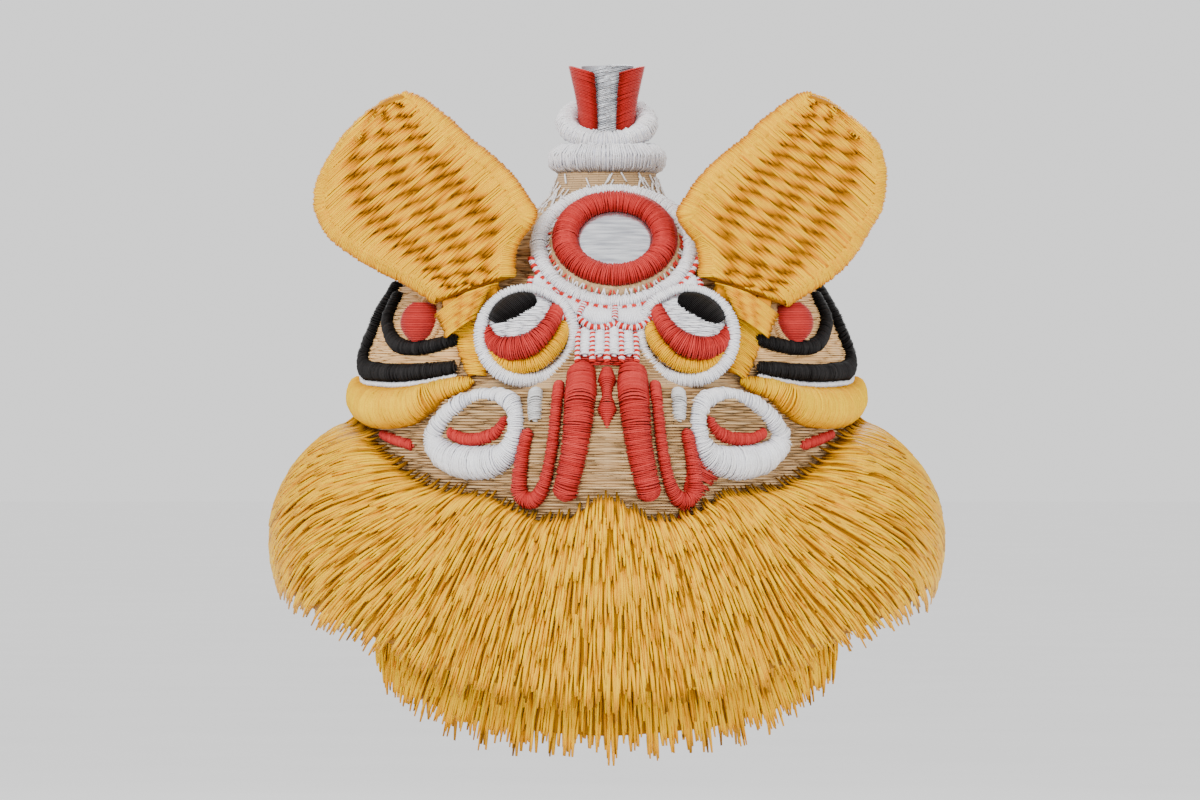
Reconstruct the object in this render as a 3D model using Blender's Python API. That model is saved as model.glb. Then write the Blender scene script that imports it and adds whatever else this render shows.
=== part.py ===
"""Lion dance head worn over the wearer's head, with a fringed beard, hinged ears and a hinged jaw.

Metres, +Z up. The face looks along -Y and +X is on the viewer's right.
The origin is the centre of the open rim at the bottom of the head.
"""
import math

import bmesh
import bpy
from mathutils import Matrix, Vector

# Clearances
FIT = 0.0003
BORE_FIT = 0.0003

# Head shell
HEAD_HEIGHT = 0.335
HEAD_HALF_WIDTH = 0.252
HEAD_FRONT = 0.255
HEAD_BACK = 0.240
HEAD_SQUARENESS = 2.6
MUZZLE_REACH = 0.090
MUZZLE_HALF_WIDTH = 0.230
SHELL_WALL = 0.003
SHELL_SIDES = 26

# Shares of head height, half width, front, back, muzzle reach and muzzle half width
HEAD_SECTIONS = (
    (0.000, 0.944, 0.961, 0.896, 0.890, 1.00),
    (0.149, 0.980, 0.988, 0.958, 1.000, 1.00),
    (0.328, 1.000, 1.000, 1.000, 0.944, 0.98),
    (0.400, 0.996, 1.000, 1.000, 0.860, 0.93),
    (0.454, 0.990, 0.996, 1.000, 0.580, 0.52),
    (0.537, 0.968, 0.980, 0.983, 0.400, 0.42),
    (0.642, 0.921, 0.953, 0.942, 0.070, 0.40),
    (0.746, 0.837, 0.871, 0.867, 0.010, 0.40),
    (0.851, 0.698, 0.745, 0.733, 0.000, 0.40),
    (0.931, 0.516, 0.549, 0.542, 0.000, 0.40),
    (0.979, 0.313, 0.333, 0.329, 0.000, 0.40),
)

# Eyes
EYE_OUT = 0.080
EYE_HEIGHT = 0.195
EYE_FORWARD = 0.238
EYE_RADIUS = 0.046
EYE_TILT_DEG = 12.0
EYE_SIDES = 16
EYE_PROFILE = (
    (0.0, -0.0200),
    (0.0460, -0.0200),
    (0.0460, 0.0000),
    (0.0437, 0.0142),
    (0.0350, 0.0298),
    (0.0190, 0.0419),
    (0.0, 0.0460),
)
EYE_RING_PROFILE = (
    (0.0446, 0.0140),
    (0.0410, 0.0208),
    (0.0450, 0.0275),
    (0.0515, 0.0245),
    (0.0515, 0.0150),
)
PUPIL_OUT = 0.014
PUPIL_UP = 0.028
PUPIL_RADII = (0.023, 0.010, 0.015)
PUPIL_TILT_DEG = -28.0
# Outward and upward from the eye's centre, and tube radius
RED_LID = (
    (-0.031, 0.028, 0.0070),
    (-0.020, 0.003, 0.0090),
    (-0.003, -0.015, 0.0100),
    (0.016, -0.019, 0.0100),
    (0.032, -0.010, 0.0090),
    (0.041, 0.006, 0.0070),
)
YELLOW_LID = (
    (-0.037, 0.008, 0.0055),
    (-0.030, -0.013, 0.0065),
    (-0.013, -0.031, 0.0070),
    (0.008, -0.035, 0.0070),
    (0.026, -0.028, 0.0065),
    (0.038, -0.012, 0.0055),
)

# Mirror on the forehead
MIRROR_ACROSS = 0.008
MIRROR_FORWARD = 0.194
MIRROR_HEIGHT = HEAD_HEIGHT - 0.047
MIRROR_TILT_DEG = 42.0
MIRROR_SIDES = 20
PLATE_PROFILE = (
    (0.0, -0.050),
    (0.083, -0.050),
    (0.083, -0.007),
    (0.069, -0.007),
    (0.069, 0.002),
    (0.0645, 0.012),
    (0.0, 0.012),
)
WHITE_RING_PROFILE = (
    (0.0693, -0.0067),
    (0.0830, -0.0067),
    (0.0850, 0.0000),
    (0.0785, 0.0070),
    (0.0705, 0.0040),
)
RED_RING_PROFILE = (
    (0.0380, 0.0123),
    (0.0625, 0.0123),
    (0.0625, 0.0175),
    (0.0510, 0.0210),
    (0.0385, 0.0175),
)
MIRROR_PROFILE = (
    (0.0, 0.0123),
    (0.0377, 0.0123),
    (0.0377, 0.0140),
    (0.0200, 0.0152),
    (0.0, 0.0155),
)
FRILL_RADIUS = 0.1060
FRILL_SCALLOP = 0.0040
FRILL_EDGE = 0.0055
FRILL_INNER_RADIUS = 0.0856
FRILL_LOW = -0.002
FRILL_HIGH = 0.004
FRILL_HALF_ANGLE_DEG = 62.0
FRILL_TUCK = 0.095
FRILL_LOBES = 6

# Bridge between the eyes
BRIDGE_HALF_WIDTH = 0.0270
BRIDGE_HEIGHTS = (0.172, 0.181, 0.195, 0.208)
BRIDGE_RIB_HEIGHTS = (0.178, 0.188, 0.199)
BRIDGE_PAD = 0.004
BRIDGE_RIB_RADIUS = 0.0045
BRIDGE_RIBS = (
    ("a", -0.0205),
    ("b", -0.0068),
    ("c", 0.0068),
    ("d", 0.0205),
)

ROLL_SIDES = 6
# Draped rolls on the front: outward, height and tube radius
NOSE_BAR = (
    (0.025, 0.170, 0.0140),
    (0.026, 0.140, 0.0155),
    (0.031, 0.092, 0.0140),
    (0.037, 0.062, 0.0130),
    (0.043, 0.036, 0.0125),
)
NOSE_LOOP = (
    (0.047, 0.150, 0.0050),
    (0.050, 0.120, 0.0058),
    (0.054, 0.085, 0.0060),
    (0.061, 0.052, 0.0065),
    (0.072, 0.036, 0.0080),
    (0.085, 0.044, 0.0090),
    (0.083, 0.076, 0.0075),
    (0.077, 0.106, 0.0065),
)
GREY_STRIP = (
    (0.071, 0.143, 0.0065),
    (0.071, 0.128, 0.0075),
    (0.071, 0.114, 0.0065),
)
POUCH_RING = (
    (0.115, 0.139, 0.0080),
    (0.094, 0.131, 0.0090),
    (0.090, 0.107, 0.0090),
    (0.100, 0.080, 0.0130),
    (0.127, 0.072, 0.0165),
    (0.158, 0.078, 0.0150),
    (0.173, 0.096, 0.0120),
    (0.161, 0.119, 0.0090),
    (0.141, 0.134, 0.0080),
)
POUCH_LIP = (
    (0.158, 0.103, 0.0055),
    (0.142, 0.096, 0.0060),
    (0.122, 0.097, 0.0065),
    (0.107, 0.105, 0.0060),
    (0.101, 0.118, 0.0050),
)
EAR_STEM = (
    (0.131, 0.163, 0.0100),
    (0.136, 0.188, 0.0140),
    (0.140, 0.214, 0.0190),
)
PENDANT_HEIGHT = 0.125
PENDANT_HALF_WIDTH = 0.0095
PENDANT_HALF_HEIGHT = 0.016
BOW_HEIGHT = 0.152
BOW_HALF_HEIGHT = 0.013

# Draped rolls on the sides: angle round the section in degrees, height and tube radius
CHEEK_ROLL = (
    (26.0, 0.153, 0.0060),
    (33.0, 0.144, 0.0110),
    (40.0, 0.133, 0.0170),
    (50.0, 0.127, 0.0200),
    (64.0, 0.128, 0.0200),
    (77.0, 0.137, 0.0160),
    (86.0, 0.150, 0.0100),
)
TEMPLE_OUTER = (
    (77.0, 0.250, 0.0070),
    (76.0, 0.228, 0.0080),
    (76.0, 0.204, 0.0080),
    (78.0, 0.182, 0.0080),
    (74.0, 0.165, 0.0080),
    (62.0, 0.160, 0.0075),
    (50.0, 0.159, 0.0070),
    (39.0, 0.163, 0.0055),
)
TEMPLE_INNER = (
    (68.0, 0.240, 0.0060),
    (66.0, 0.218, 0.0070),
    (61.0, 0.198, 0.0070),
    (55.0, 0.184, 0.0070),
    (47.0, 0.180, 0.0070),
    (40.0, 0.181, 0.0065),
    (34.0, 0.190, 0.0055),
)
LIP_CORNER = (
    (62.0, 0.101, 0.0040),
    (54.0, 0.095, 0.0055),
    (46.0, 0.089, 0.0048),
)
TEMPLE_BALL_ANGLE = 46.0
TEMPLE_BALL_HEIGHT = 0.211
TEMPLE_BALL_RADIUS = 0.021
TEMPLE_PAD = 0.004
# Height, first angle and last angle of the pad
TEMPLE_PAD_ROWS = (
    (0.163, 37.0, 77.0),
    (0.180, 34.0, 77.0),
    (0.200, 38.0, 76.0),
    (0.225, 48.0, 76.0),
    (0.248, 62.0, 76.0),
)

# Horn on top: radii, and heights above the head's top
HORN_BACKWARD = -0.040
HORN_SIDES = 16
NECK_PROFILE = (
    (0.0, -0.0450),
    (0.078, -0.0450),
    (0.075, -0.0090),
    (0.062, -0.0010),
    (0.055, 0.0150),
    (0.050, 0.0310),
    (0.0, 0.0310),
)
LOWER_COLLAR_PROFILE = (
    (0.0228, 0.0313),
    (0.0500, 0.0313),
    (0.0590, 0.0370),
    (0.0605, 0.0470),
    (0.0560, 0.0570),
    (0.0430, 0.0633),
    (0.0280, 0.0625),
    (0.0228, 0.0570),
)
HORN_CORE_PROFILE = (
    (0.0, 0.0313),
    (0.0225, 0.0313),
    (0.0220, 0.0650),
    (0.0225, 0.1050),
    (0.0260, 0.1410),
    (0.0, 0.1440),
)
# Height and outer radius of the red strips, and radius of the core
HORN_STRIP_ROWS = (
    (0.0650, 0.0265, 0.0220),
    (0.1050, 0.0305, 0.0225),
    (0.1410, 0.0385, 0.0260),
)
HORN_STRIP_SPANS = 6
UPPER_COLLAR_RADIUS = 0.0410
UPPER_COLLAR_TUBE = 0.0105
UPPER_COLLAR_HEIGHT = 0.0840
UPPER_COLLAR_TILT_DEG = 29.0

# Ears
EAR_LENGTH = 0.291
EAR_FOOT_OUT = 0.129
EAR_FOOT_HEIGHT = 0.163
EAR_SPREAD = 0.282
EAR_LEAN = 0.130
EAR_YAW = 0.270
EAR_THICKNESS = 0.024
EAR_HINGE_ALONG = 0.072
EAR_HINGE_FORWARD = 0.217
EAR_BLADE_START = 0.080
# Shares of ear length: along, outer edge on the viewer's left and right, inner edge
EAR_STATIONS = (
    (0.213, 0.062, 0.076, 0.199),
    (0.275, 0.079, 0.105, 0.209),
    (0.371, 0.155, 0.189, 0.247),
    (0.522, 0.302, 0.282, 0.330),
    (0.612, 0.364, 0.306, 0.299),
    (0.704, 0.385, 0.326, 0.247),
    (0.784, 0.364, 0.316, 0.192),
    (0.852, 0.302, 0.289, 0.144),
    (0.921, 0.206, 0.227, 0.089),
    (0.969, 0.110, 0.093, 0.048),
    (1.000, 0.014, 0.014, 0.014),
)
KNUCKLE_RADIUS = 0.009
# Positions along the ear's hinge axis
LUG_FROM = -0.020
LUG_TO = -0.002
LUG_GAP = 0.001
LUG_DROP = 0.026
HINGE_FROM = -0.044
HINGE_TO = 0.014
EAR_PIN_RADIUS = 0.003

# Jaw
JAW_PIVOT_BACKWARD = 0.050
JAW_PIVOT_HEIGHT = 0.014
JAW_TOP = -0.006
JAW_THICKNESS = 0.008
JAW_INSET = 0.0160
JAW_FIT = 0.0007
JAW_ARM_WIDTH = 0.018
JAW_REAR_EDGE = 0.118
JAW_ARM_FROM_DEG = 62.0
JAW_ARM_TO_DEG = 86.0
JAW_LUG_LENGTH = 0.026
JAW_LUG_OUT = HEAD_HALF_WIDTH - 0.0215
JAW_LUG_WIDTH = 0.012
JAW_PIN_RADIUS = 0.004
JAW_PIN_OUT = JAW_LUG_OUT + 0.0065

# Upper beard: angle round the section, root height, outward reach and tip height
UPPER_BEARD = (
    (0.0, 0.038, 0.030, -0.167),
    (5.0, 0.016, 0.031, -0.166),
    (10.0, 0.014, 0.032, -0.164),
    (16.0, 0.024, 0.034, -0.160),
    (21.0, 0.038, 0.036, -0.156),
    (32.0, 0.042, 0.042, -0.142),
    (38.0, 0.046, 0.048, -0.127),
    (46.0, 0.058, 0.060, -0.112),
    (53.0, 0.072, 0.068, -0.102),
    (64.0, 0.096, 0.077, -0.086),
    (78.0, 0.108, 0.083, -0.066),
    (92.0, 0.112, 0.084, -0.048),
    (106.0, 0.108, 0.080, -0.022),
    (118.0, 0.100, 0.070, 0.010),
)
UPPER_BEARD_COLUMNS = 40
UPPER_BEARD_HALF_ANGLE = 118.0
# Lower beard: angle round the rim, root height, outward reach and tip height
LOWER_BEARD = (
    (0.0, -0.004, 0.012, -0.213),
    (20.0, -0.004, 0.014, -0.205),
    (35.0, -0.004, 0.022, -0.190),
    (50.0, -0.004, 0.034, -0.163),
    (56.0, -0.004, 0.040, -0.145),
)
LOWER_BEARD_COLUMNS = 20
LOWER_BEARD_HALF_ANGLE = 56.0
# Share along a lock, thickness of the upper beard and of the lower beard
LOCK_ROWS = (
    (0.00, 0.0150, 0.0110),
    (0.20, 0.0190, 0.0130),
    (0.62, 0.0160, 0.0120),
    (1.00, 0.0040, 0.0040),
)
LOCK_RIDGE = 0.0050
LOCK_TIP = 0.0140
BEARD_SUNK = 0.0040

parts = bpy.data.collections.new("lion_dance_head")
cutters = bpy.data.collections.new("cutters")


def clear_scene():
    for item in list(bpy.data.objects):
        bpy.data.objects.remove(item, do_unlink=True)
    bpy.context.scene.collection.children.link(parts)
    bpy.context.scene.collection.children.link(cutters)


def paint(item, colour, roughness, metallic=0.0):
    material = bpy.data.materials.new(item.name)
    material.use_nodes = True
    shader = material.node_tree.nodes["Principled BSDF"]
    shader.inputs["Base Color"].default_value = (*colour, 1.0)
    shader.inputs["Roughness"].default_value = roughness
    shader.inputs["Metallic"].default_value = metallic
    item.data.materials.append(material)


def solid(name, points, faces, where=parts, origin=(0.0, 0.0, 0.0)):
    """One closed mesh object with its outside facing out."""
    base = Vector(origin)
    mesh = bpy.data.meshes.new(name)
    mesh.from_pydata([tuple(Vector(p) - base) for p in points], [], faces)
    work = bmesh.new()
    work.from_mesh(mesh)
    bmesh.ops.recalc_face_normals(work, faces=work.faces)
    work.to_mesh(mesh)
    work.free()
    item = bpy.data.objects.new(name, mesh)
    item.location = base
    where.objects.link(item)
    if where is cutters:
        item.hide_render = True
        item.display_type = "WIRE"
    return item


def skin_between(rings, closed=False, folded=False):
    """Points and faces of a loft through rings of equal length, capped unless closed.

    A folded ring goes out along one edge and back along the other, so its caps are strips.
    """
    count = len(rings[0])
    points = [point for ring in rings for point in ring]
    faces = []
    spans = len(rings) if closed else len(rings) - 1
    for row in range(spans):
        here = row * count
        there = (row + 1) % len(rings) * count
        for k in range(count):
            after = (k + 1) % count
            faces.append((here + k, here + after, there + after))
            faces.append((here + k, there + after, there + k))
    if folded:
        for start in (0, len(points) - count):
            for k in range(count // 2 - 1):
                a, b = start + k, start + k + 1
                c, d = start + count - 2 - k, start + count - 1 - k
                faces.append((a, b, c))
                faces.append((a, c, d))
    elif not closed:
        faces.append(tuple(range(count))[::-1])
        faces.append(tuple(range(len(points) - count, len(points))))
    return points, faces


def combine(item, other, operation):
    change = item.modifiers.new(operation.lower(), "BOOLEAN")
    change.operation = operation
    change.solver = "EXACT"
    change.object = other


def room_of(item, grow=FIT):
    """A cutter that follows a piece's own form, larger by the clearance all round."""
    mesh = item.data.copy()
    mesh.materials.clear()
    work = bmesh.new()
    work.from_mesh(mesh)
    work.normal_update()
    moves = [vert.normal * min(vert.calc_shell_factor(), 2.0) * grow for vert in work.verts]
    for vert, move in zip(work.verts, moves):
        vert.co += move
    work.to_mesh(mesh)
    work.free()
    room = bpy.data.objects.new("room_" + item.name, mesh)
    room.location = item.location
    room.hide_render = True
    room.display_type = "WIRE"
    cutters.objects.link(room)
    return room


def cut(item, *others):
    for other in others:
        combine(item, other, "DIFFERENCE")


def row_at(rows, key):
    """The row of a table at a value of its first column, between its rows."""
    if key <= rows[0][0]:
        return rows[0]
    for low, high in zip(rows, rows[1:]):
        if key <= high[0]:
            share = (key - low[0]) / (high[0] - low[0])
            return tuple(a + (b - a) * share for a, b in zip(low, high))
    return rows[-1]


def smoothed(rows, steps, closed=False):
    """A smooth run through the rows of a table, with steps to each row."""
    count = len(rows)
    spans = count if closed else count - 1
    result = []
    for span in range(spans):
        if closed:
            four = [rows[(span + k) % count] for k in (-1, 0, 1, 2)]
        else:
            four = [rows[min(max(span + k, 0), count - 1)] for k in (-1, 0, 1, 2)]
        for step in range(steps):
            t = step / steps
            result.append(tuple(
                0.5 * (2 * b + (c - a) * t + (2 * a - 5 * b + 4 * c - d) * t * t
                       + (3 * b - a - 3 * c + d) * t ** 3)
                for a, b, c, d in zip(*four)))
    if not closed:
        result.append(rows[-1])
    return result


# Shell surface
def section(height):
    """Half width, front depth, back depth, muzzle reach and muzzle half width at a height."""
    share = min(max(height / HEAD_HEIGHT, 0.0), HEAD_SECTIONS[-1][0])
    _, width, front, back, muzzle, spread = row_at(HEAD_SECTIONS, share)
    return (width * HEAD_HALF_WIDTH, front * HEAD_FRONT, back * HEAD_BACK, muzzle * MUZZLE_REACH,
            spread * MUZZLE_HALF_WIDTH)


def rim_point(angle, height):
    """Point of the shell at an angle from the front and a height."""
    width, front, back, muzzle, spread = section(height)
    turn = math.radians(angle)
    power = 2.0 / HEAD_SQUARENESS
    x = math.copysign(abs(math.sin(turn)) ** power, math.sin(turn)) * width
    forward = math.cos(turn)
    if forward >= 0.0:
        y = -(forward ** power) * (front + muzzle * max(1.0 - (x / spread) ** 2, 0.0) ** 2)
    else:
        y = (-forward) ** power * back
    return Vector((x, y, height))


def face_angle(across, height):
    """Angle at which the shell has a given distance across."""
    share = min(abs(across) / section(height)[0], 0.999)
    return math.degrees(math.asin(share ** (HEAD_SQUARENESS / 2.0)))


def on_side(angle, height, side, lift=0.0):
    """Point over the shell at an angle and height on one side, with its outward normal."""
    step = 0.8
    rise = 0.004
    along = rim_point(angle + step, height) - rim_point(angle - step, height)
    upward = rim_point(angle, height + rise) - rim_point(angle, height - rise)
    normal = along.cross(upward).normalized()
    point = rim_point(angle, height) + normal * lift
    mirror = Vector((side, 1.0, 1.0))
    return point * mirror, normal * mirror


def on_front(across, height, side, lift=0.0):
    """Point over the shell at a distance across and height, with its outward normal."""
    angle = face_angle(across, height) * (1.0 if across >= 0.0 else -1.0)
    return on_side(angle, height, side, lift)


def head_rings(inset=0.0):
    """Rings of the shell from the rim to near the top."""
    rings = []
    for row in HEAD_SECTIONS:
        height = row[0] * HEAD_HEIGHT
        ring = []
        for k in range(SHELL_SIDES):
            angle = 360.0 * k / SHELL_SIDES
            normal = on_side(angle, max(height, 0.0045), 1.0)[1]
            point = rim_point(angle, height) - normal * inset
            if row is HEAD_SECTIONS[0]:
                point.z = 0.0
            ring.append(point)
        rings.append(ring)
    return rings


def head_skin(inset=0.0):
    """One skin of the shell, open at the rim."""
    points, faces = skin_between(head_rings(inset))
    del faces[-2:]
    start = len(points) - SHELL_SIDES
    points.append(Vector((0.0, 0.0, HEAD_HEIGHT - inset)))
    for k in range(SHELL_SIDES):
        faces.append((start + k, start + (k + 1) % SHELL_SIDES, len(points) - 1))
    return points, faces


def head_form():
    """The full head shape, closed at the rim."""
    points, faces = head_skin()
    faces.append(tuple(range(SHELL_SIDES))[::-1])
    return solid("head_form", points, faces, cutters)


def head_shell():
    """The open shell: outer and inner skins joined round the rim."""
    points, faces = head_skin()
    inner, _ = head_skin(SHELL_WALL)
    count = len(points)
    faces += [tuple(count + index for index in reversed(face)) for face in faces]
    for k in range(SHELL_SIDES):
        after = (k + 1) % SHELL_SIDES
        faces.append((k, count + k, count + after))
        faces.append((k, count + after, after))
    return solid("head_shell", points + inner, faces)


# Builders
def draped(name, rows, place, side, depth=0.9, lift=0.0, closed=False, steps=1):
    """A roll that lies along the shell through the rows of its table."""
    run = smoothed(rows, steps, closed)
    centres = [place(row[0], row[1], side, lift) for row in run]
    count = len(run)
    rings = []
    for k, row in enumerate(run):
        centre, normal = centres[k]
        if closed:
            ahead = centres[(k + 1) % count][0] - centres[k - 1][0]
        else:
            ahead = centres[min(k + 1, count - 1)][0] - centres[max(k - 1, 0)][0]
        ahead.normalize()
        across = ahead.cross(normal).normalized()
        outward = across.cross(ahead).normalized()
        radius = row[2]
        if not closed and k in (0, count - 1):
            radius *= 0.62
        rings.append([
            centre + across * radius * math.cos(turn) + outward * radius * depth * math.sin(turn)
            for turn in (2.0 * math.pi * j / ROLL_SIDES for j in range(ROLL_SIDES))])
    points, faces = skin_between(rings, closed)
    return solid(name, points, faces)


def turned(name, profile, sides, place=Matrix(), where=parts):
    """A profile of radius and height turned about the local Z axis."""
    loop = profile[0][0] > 0.0
    inside = profile if loop else profile[1:-1]
    rings = []
    for k in range(sides):
        turn = 2.0 * math.pi * k / sides
        rings.append([place @ Vector((r * math.sin(turn), -r * math.cos(turn), h))
                      for r, h in inside])
    count = len(inside)
    points = [point for ring in rings for point in ring]
    faces = []
    for k in range(sides):
        here = k * count
        there = (k + 1) % sides * count
        for j in range(count if loop else count - 1):
            after = (j + 1) % count
            faces.append((here + j, here + after, there + after))
            faces.append((here + j, there + after, there + j))
    if not loop:
        for end, j in ((profile[0], 0), (profile[-1], count - 1)):
            points.append(place @ Vector((0.0, 0.0, end[1])))
            for k in range(sides):
                faces.append((k * count + j, (k + 1) % sides * count + j, len(points) - 1))
    return solid(name, points, faces, where)


def ball(name, centre, radii, turn=Matrix(), segments=16, rings=10):
    """A ball or an oval one, turned about its centre."""
    mesh = bpy.data.meshes.new(name)
    work = bmesh.new()
    bmesh.ops.create_uvsphere(work, u_segments=segments, v_segments=rings, radius=1.0)
    upright = Matrix.Rotation(math.pi / 2.0, 4, "X")
    size = Matrix.Diagonal((*radii, 1.0))
    bmesh.ops.transform(work, matrix=turn @ size @ upright, verts=work.verts)
    work.to_mesh(mesh)
    work.free()
    item = bpy.data.objects.new(name, mesh)
    item.location = centre
    parts.objects.link(item)
    return item


def patch(name, rows, place, side, inside, outside, columns):
    """A pad over the shell between two edges given for each height."""
    outer = []
    inner = []
    for height, first, last in rows:
        spots = [first + (last - first) * k / (columns - 1) for k in range(columns)]
        outer.append([place(s, height, side, outside)[0] for s in spots])
        inner.append([place(s, height, side, inside)[0] for s in spots])
    rings = [a + b[::-1] for a, b in zip(outer, inner)]
    points, faces = skin_between(rings, folded=True)
    return solid(name, points, faces)


def side_name(side):
    return "left" if side < 0.0 else "right"


# Ears
def ear_frame(side):
    """Hinge point, direction along the ear, axis outward and face normal."""
    hinge = Vector((
        side * (EAR_FOOT_OUT + EAR_SPREAD * EAR_HINGE_ALONG),
        -EAR_HINGE_FORWARD,
        EAR_FOOT_HEIGHT + EAR_HINGE_ALONG * math.sqrt(1.0 - EAR_SPREAD ** 2)))
    rise = math.sqrt(1.0 - EAR_SPREAD ** 2)
    along = Vector((side * EAR_SPREAD, EAR_LEAN, rise)).normalized()
    outward = Vector((side * rise, EAR_YAW, -EAR_SPREAD))
    outward = (outward - along * outward.dot(along)).normalized()
    normal = outward.cross(along).normalized()
    if normal.y > 0.0:
        normal = -normal
    return hinge, along, outward, normal


def round_bar(name, side, first, last, radius, drop=0.0, where=parts, sides=12):
    """A bar along the ear hinge axis, with a straight skirt below when drop is given."""
    hinge, along, outward, normal = ear_frame(side)
    if drop:
        turns = [math.pi * k / 6 for k in range(7)]
        outline = [(math.sin(t) * radius, math.cos(t) * radius) for t in turns]
        outline += [(-drop, -radius), (-drop, radius)]
    else:
        turns = [2.0 * math.pi * k / sides for k in range(sides)]
        outline = [(math.sin(t) * radius, math.cos(t) * radius) for t in turns]
    rings = [[hinge + outward * reach + along * u + normal * v for u, v in outline]
             for reach in (first, last)]
    points, faces = skin_between(rings)
    return solid(name, points, faces, where)


def ear_blade(side):
    hinge, along, outward, normal = ear_frame(side)
    widen = 1.0 / math.sqrt(1.0 - EAR_YAW ** 2)
    rings = []
    start = EAR_BLADE_START / EAR_LENGTH
    rows = [row_at(EAR_STATIONS, start)] + [row for row in EAR_STATIONS if row[0] > start + 0.01]
    for row in rows:
        reach = (row[0] * EAR_LENGTH - EAR_HINGE_ALONG) * (1.0 + EAR_LEAN ** 2 / 2.0)
        outer = (row[1] if side < 0.0 else row[2]) * EAR_LENGTH * widen
        inner = -row[3] * EAR_LENGTH * widen
        middle = (outer + inner) / 2.0
        half = (outer - inner) / 2.0
        thick = min(EAR_THICKNESS / 2.0, half * 0.5 + 0.003)
        ring = []
        for t in (-1.0, -0.84, -0.42, 0.0, 0.42, 0.84, 1.0):
            depth = thick * (0.0 if abs(t) == 1.0 else 1.0 - 0.45 * t ** 4)
            ring.append(hinge + along * reach + outward * (middle + half * t) + normal * depth)
        for t in (0.84, 0.0, -0.84):
            ring.append(hinge + along * reach + outward * (middle + half * t) - normal * thick * 0.7)
        rings.append(ring)
    points, faces = skin_between(rings)
    item = solid("ear_" + side_name(side), points, faces, parts, hinge)
    name = side_name(side)
    room = round_bar("lug_room_" + name, side, LUG_FROM - LUG_GAP, LUG_TO + LUG_GAP,
                     KNUCKLE_RADIUS + LUG_GAP, 0.0, cutters)
    cut(item, room)
    for tag, low, high in (("in", HINGE_FROM, LUG_FROM - LUG_GAP), ("out", LUG_TO + LUG_GAP, HINGE_TO)):
        knuckle = round_bar("knuckle_" + tag + "_" + name, side, low, high, KNUCKLE_RADIUS, 0.0, cutters)
        combine(item, knuckle, "UNION")
    bore = round_bar("ear_bore_" + name, side, 2.0 * HINGE_FROM, 3.0 * HINGE_TO,
                     EAR_PIN_RADIUS + BORE_FIT, 0.0, cutters)
    cut(item, bore)
    return item, bore


def ear_root(side, bore, shell_room, others):
    name = side_name(side)
    item = draped("ear_root_" + name, EAR_STEM, on_front, side, depth=0.42, lift=0.004)
    lug = round_bar("lug_" + name, side, LUG_FROM, LUG_TO, KNUCKLE_RADIUS, LUG_DROP, cutters)
    combine(item, lug, "UNION")
    cut(item, bore, shell_room, *others)
    pin = round_bar("ear_pin_" + name, side, HINGE_FROM, HINGE_TO, EAR_PIN_RADIUS)
    paint(pin, (0.45, 0.46, 0.48), 0.35, 1.0)
    return item


# Beard
def beard(name, table, columns, half_angle, thickness_column, height_for_root, sunk, backing,
          origin=(0.0, 0.0, 0.0)):
    """A curved wall of locks: ridges and hollows side by side with pointed tips."""
    rings = []
    for column in range(columns + 1):
        angle = -half_angle + 2.0 * half_angle * column / columns
        _, root, reach, tip = row_at(table, abs(angle))
        ridge = column % 2 == 0
        tip += -LOCK_TIP / 2.0 if ridge else LOCK_TIP / 2.0
        level = height_for_root if height_for_root is not None else root
        base = rim_point(angle, max(level, 0.0))
        outward = Vector((base.x, base.y, 0.0)).normalized()
        outer = []
        inner = []
        for row in LOCK_ROWS:
            share = row[0]
            thick = row[thickness_column]
            fall = root + (tip - root) * share ** 1.35
            swing = reach * math.sin(share * math.pi * 0.62)
            edge = min(share * 4.0, 1.0) * min((1.0 - share) * 4.0, 1.0)
            bulge = LOCK_RIDGE * edge * (0.5 if ridge else -0.5)
            foot = base + outward * (swing - backing)
            outer.append(Vector((foot.x, foot.y, fall)) + outward * (thick - sunk + bulge))
            inner.append(Vector((foot.x, foot.y, fall - (0.002 if share == 0.0 else 0.0)))
                         - outward * sunk)
        rings.append(outer + inner[::-1])
    points, faces = skin_between(rings, folded=True)
    return solid(name, points, faces, parts, origin)


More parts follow.
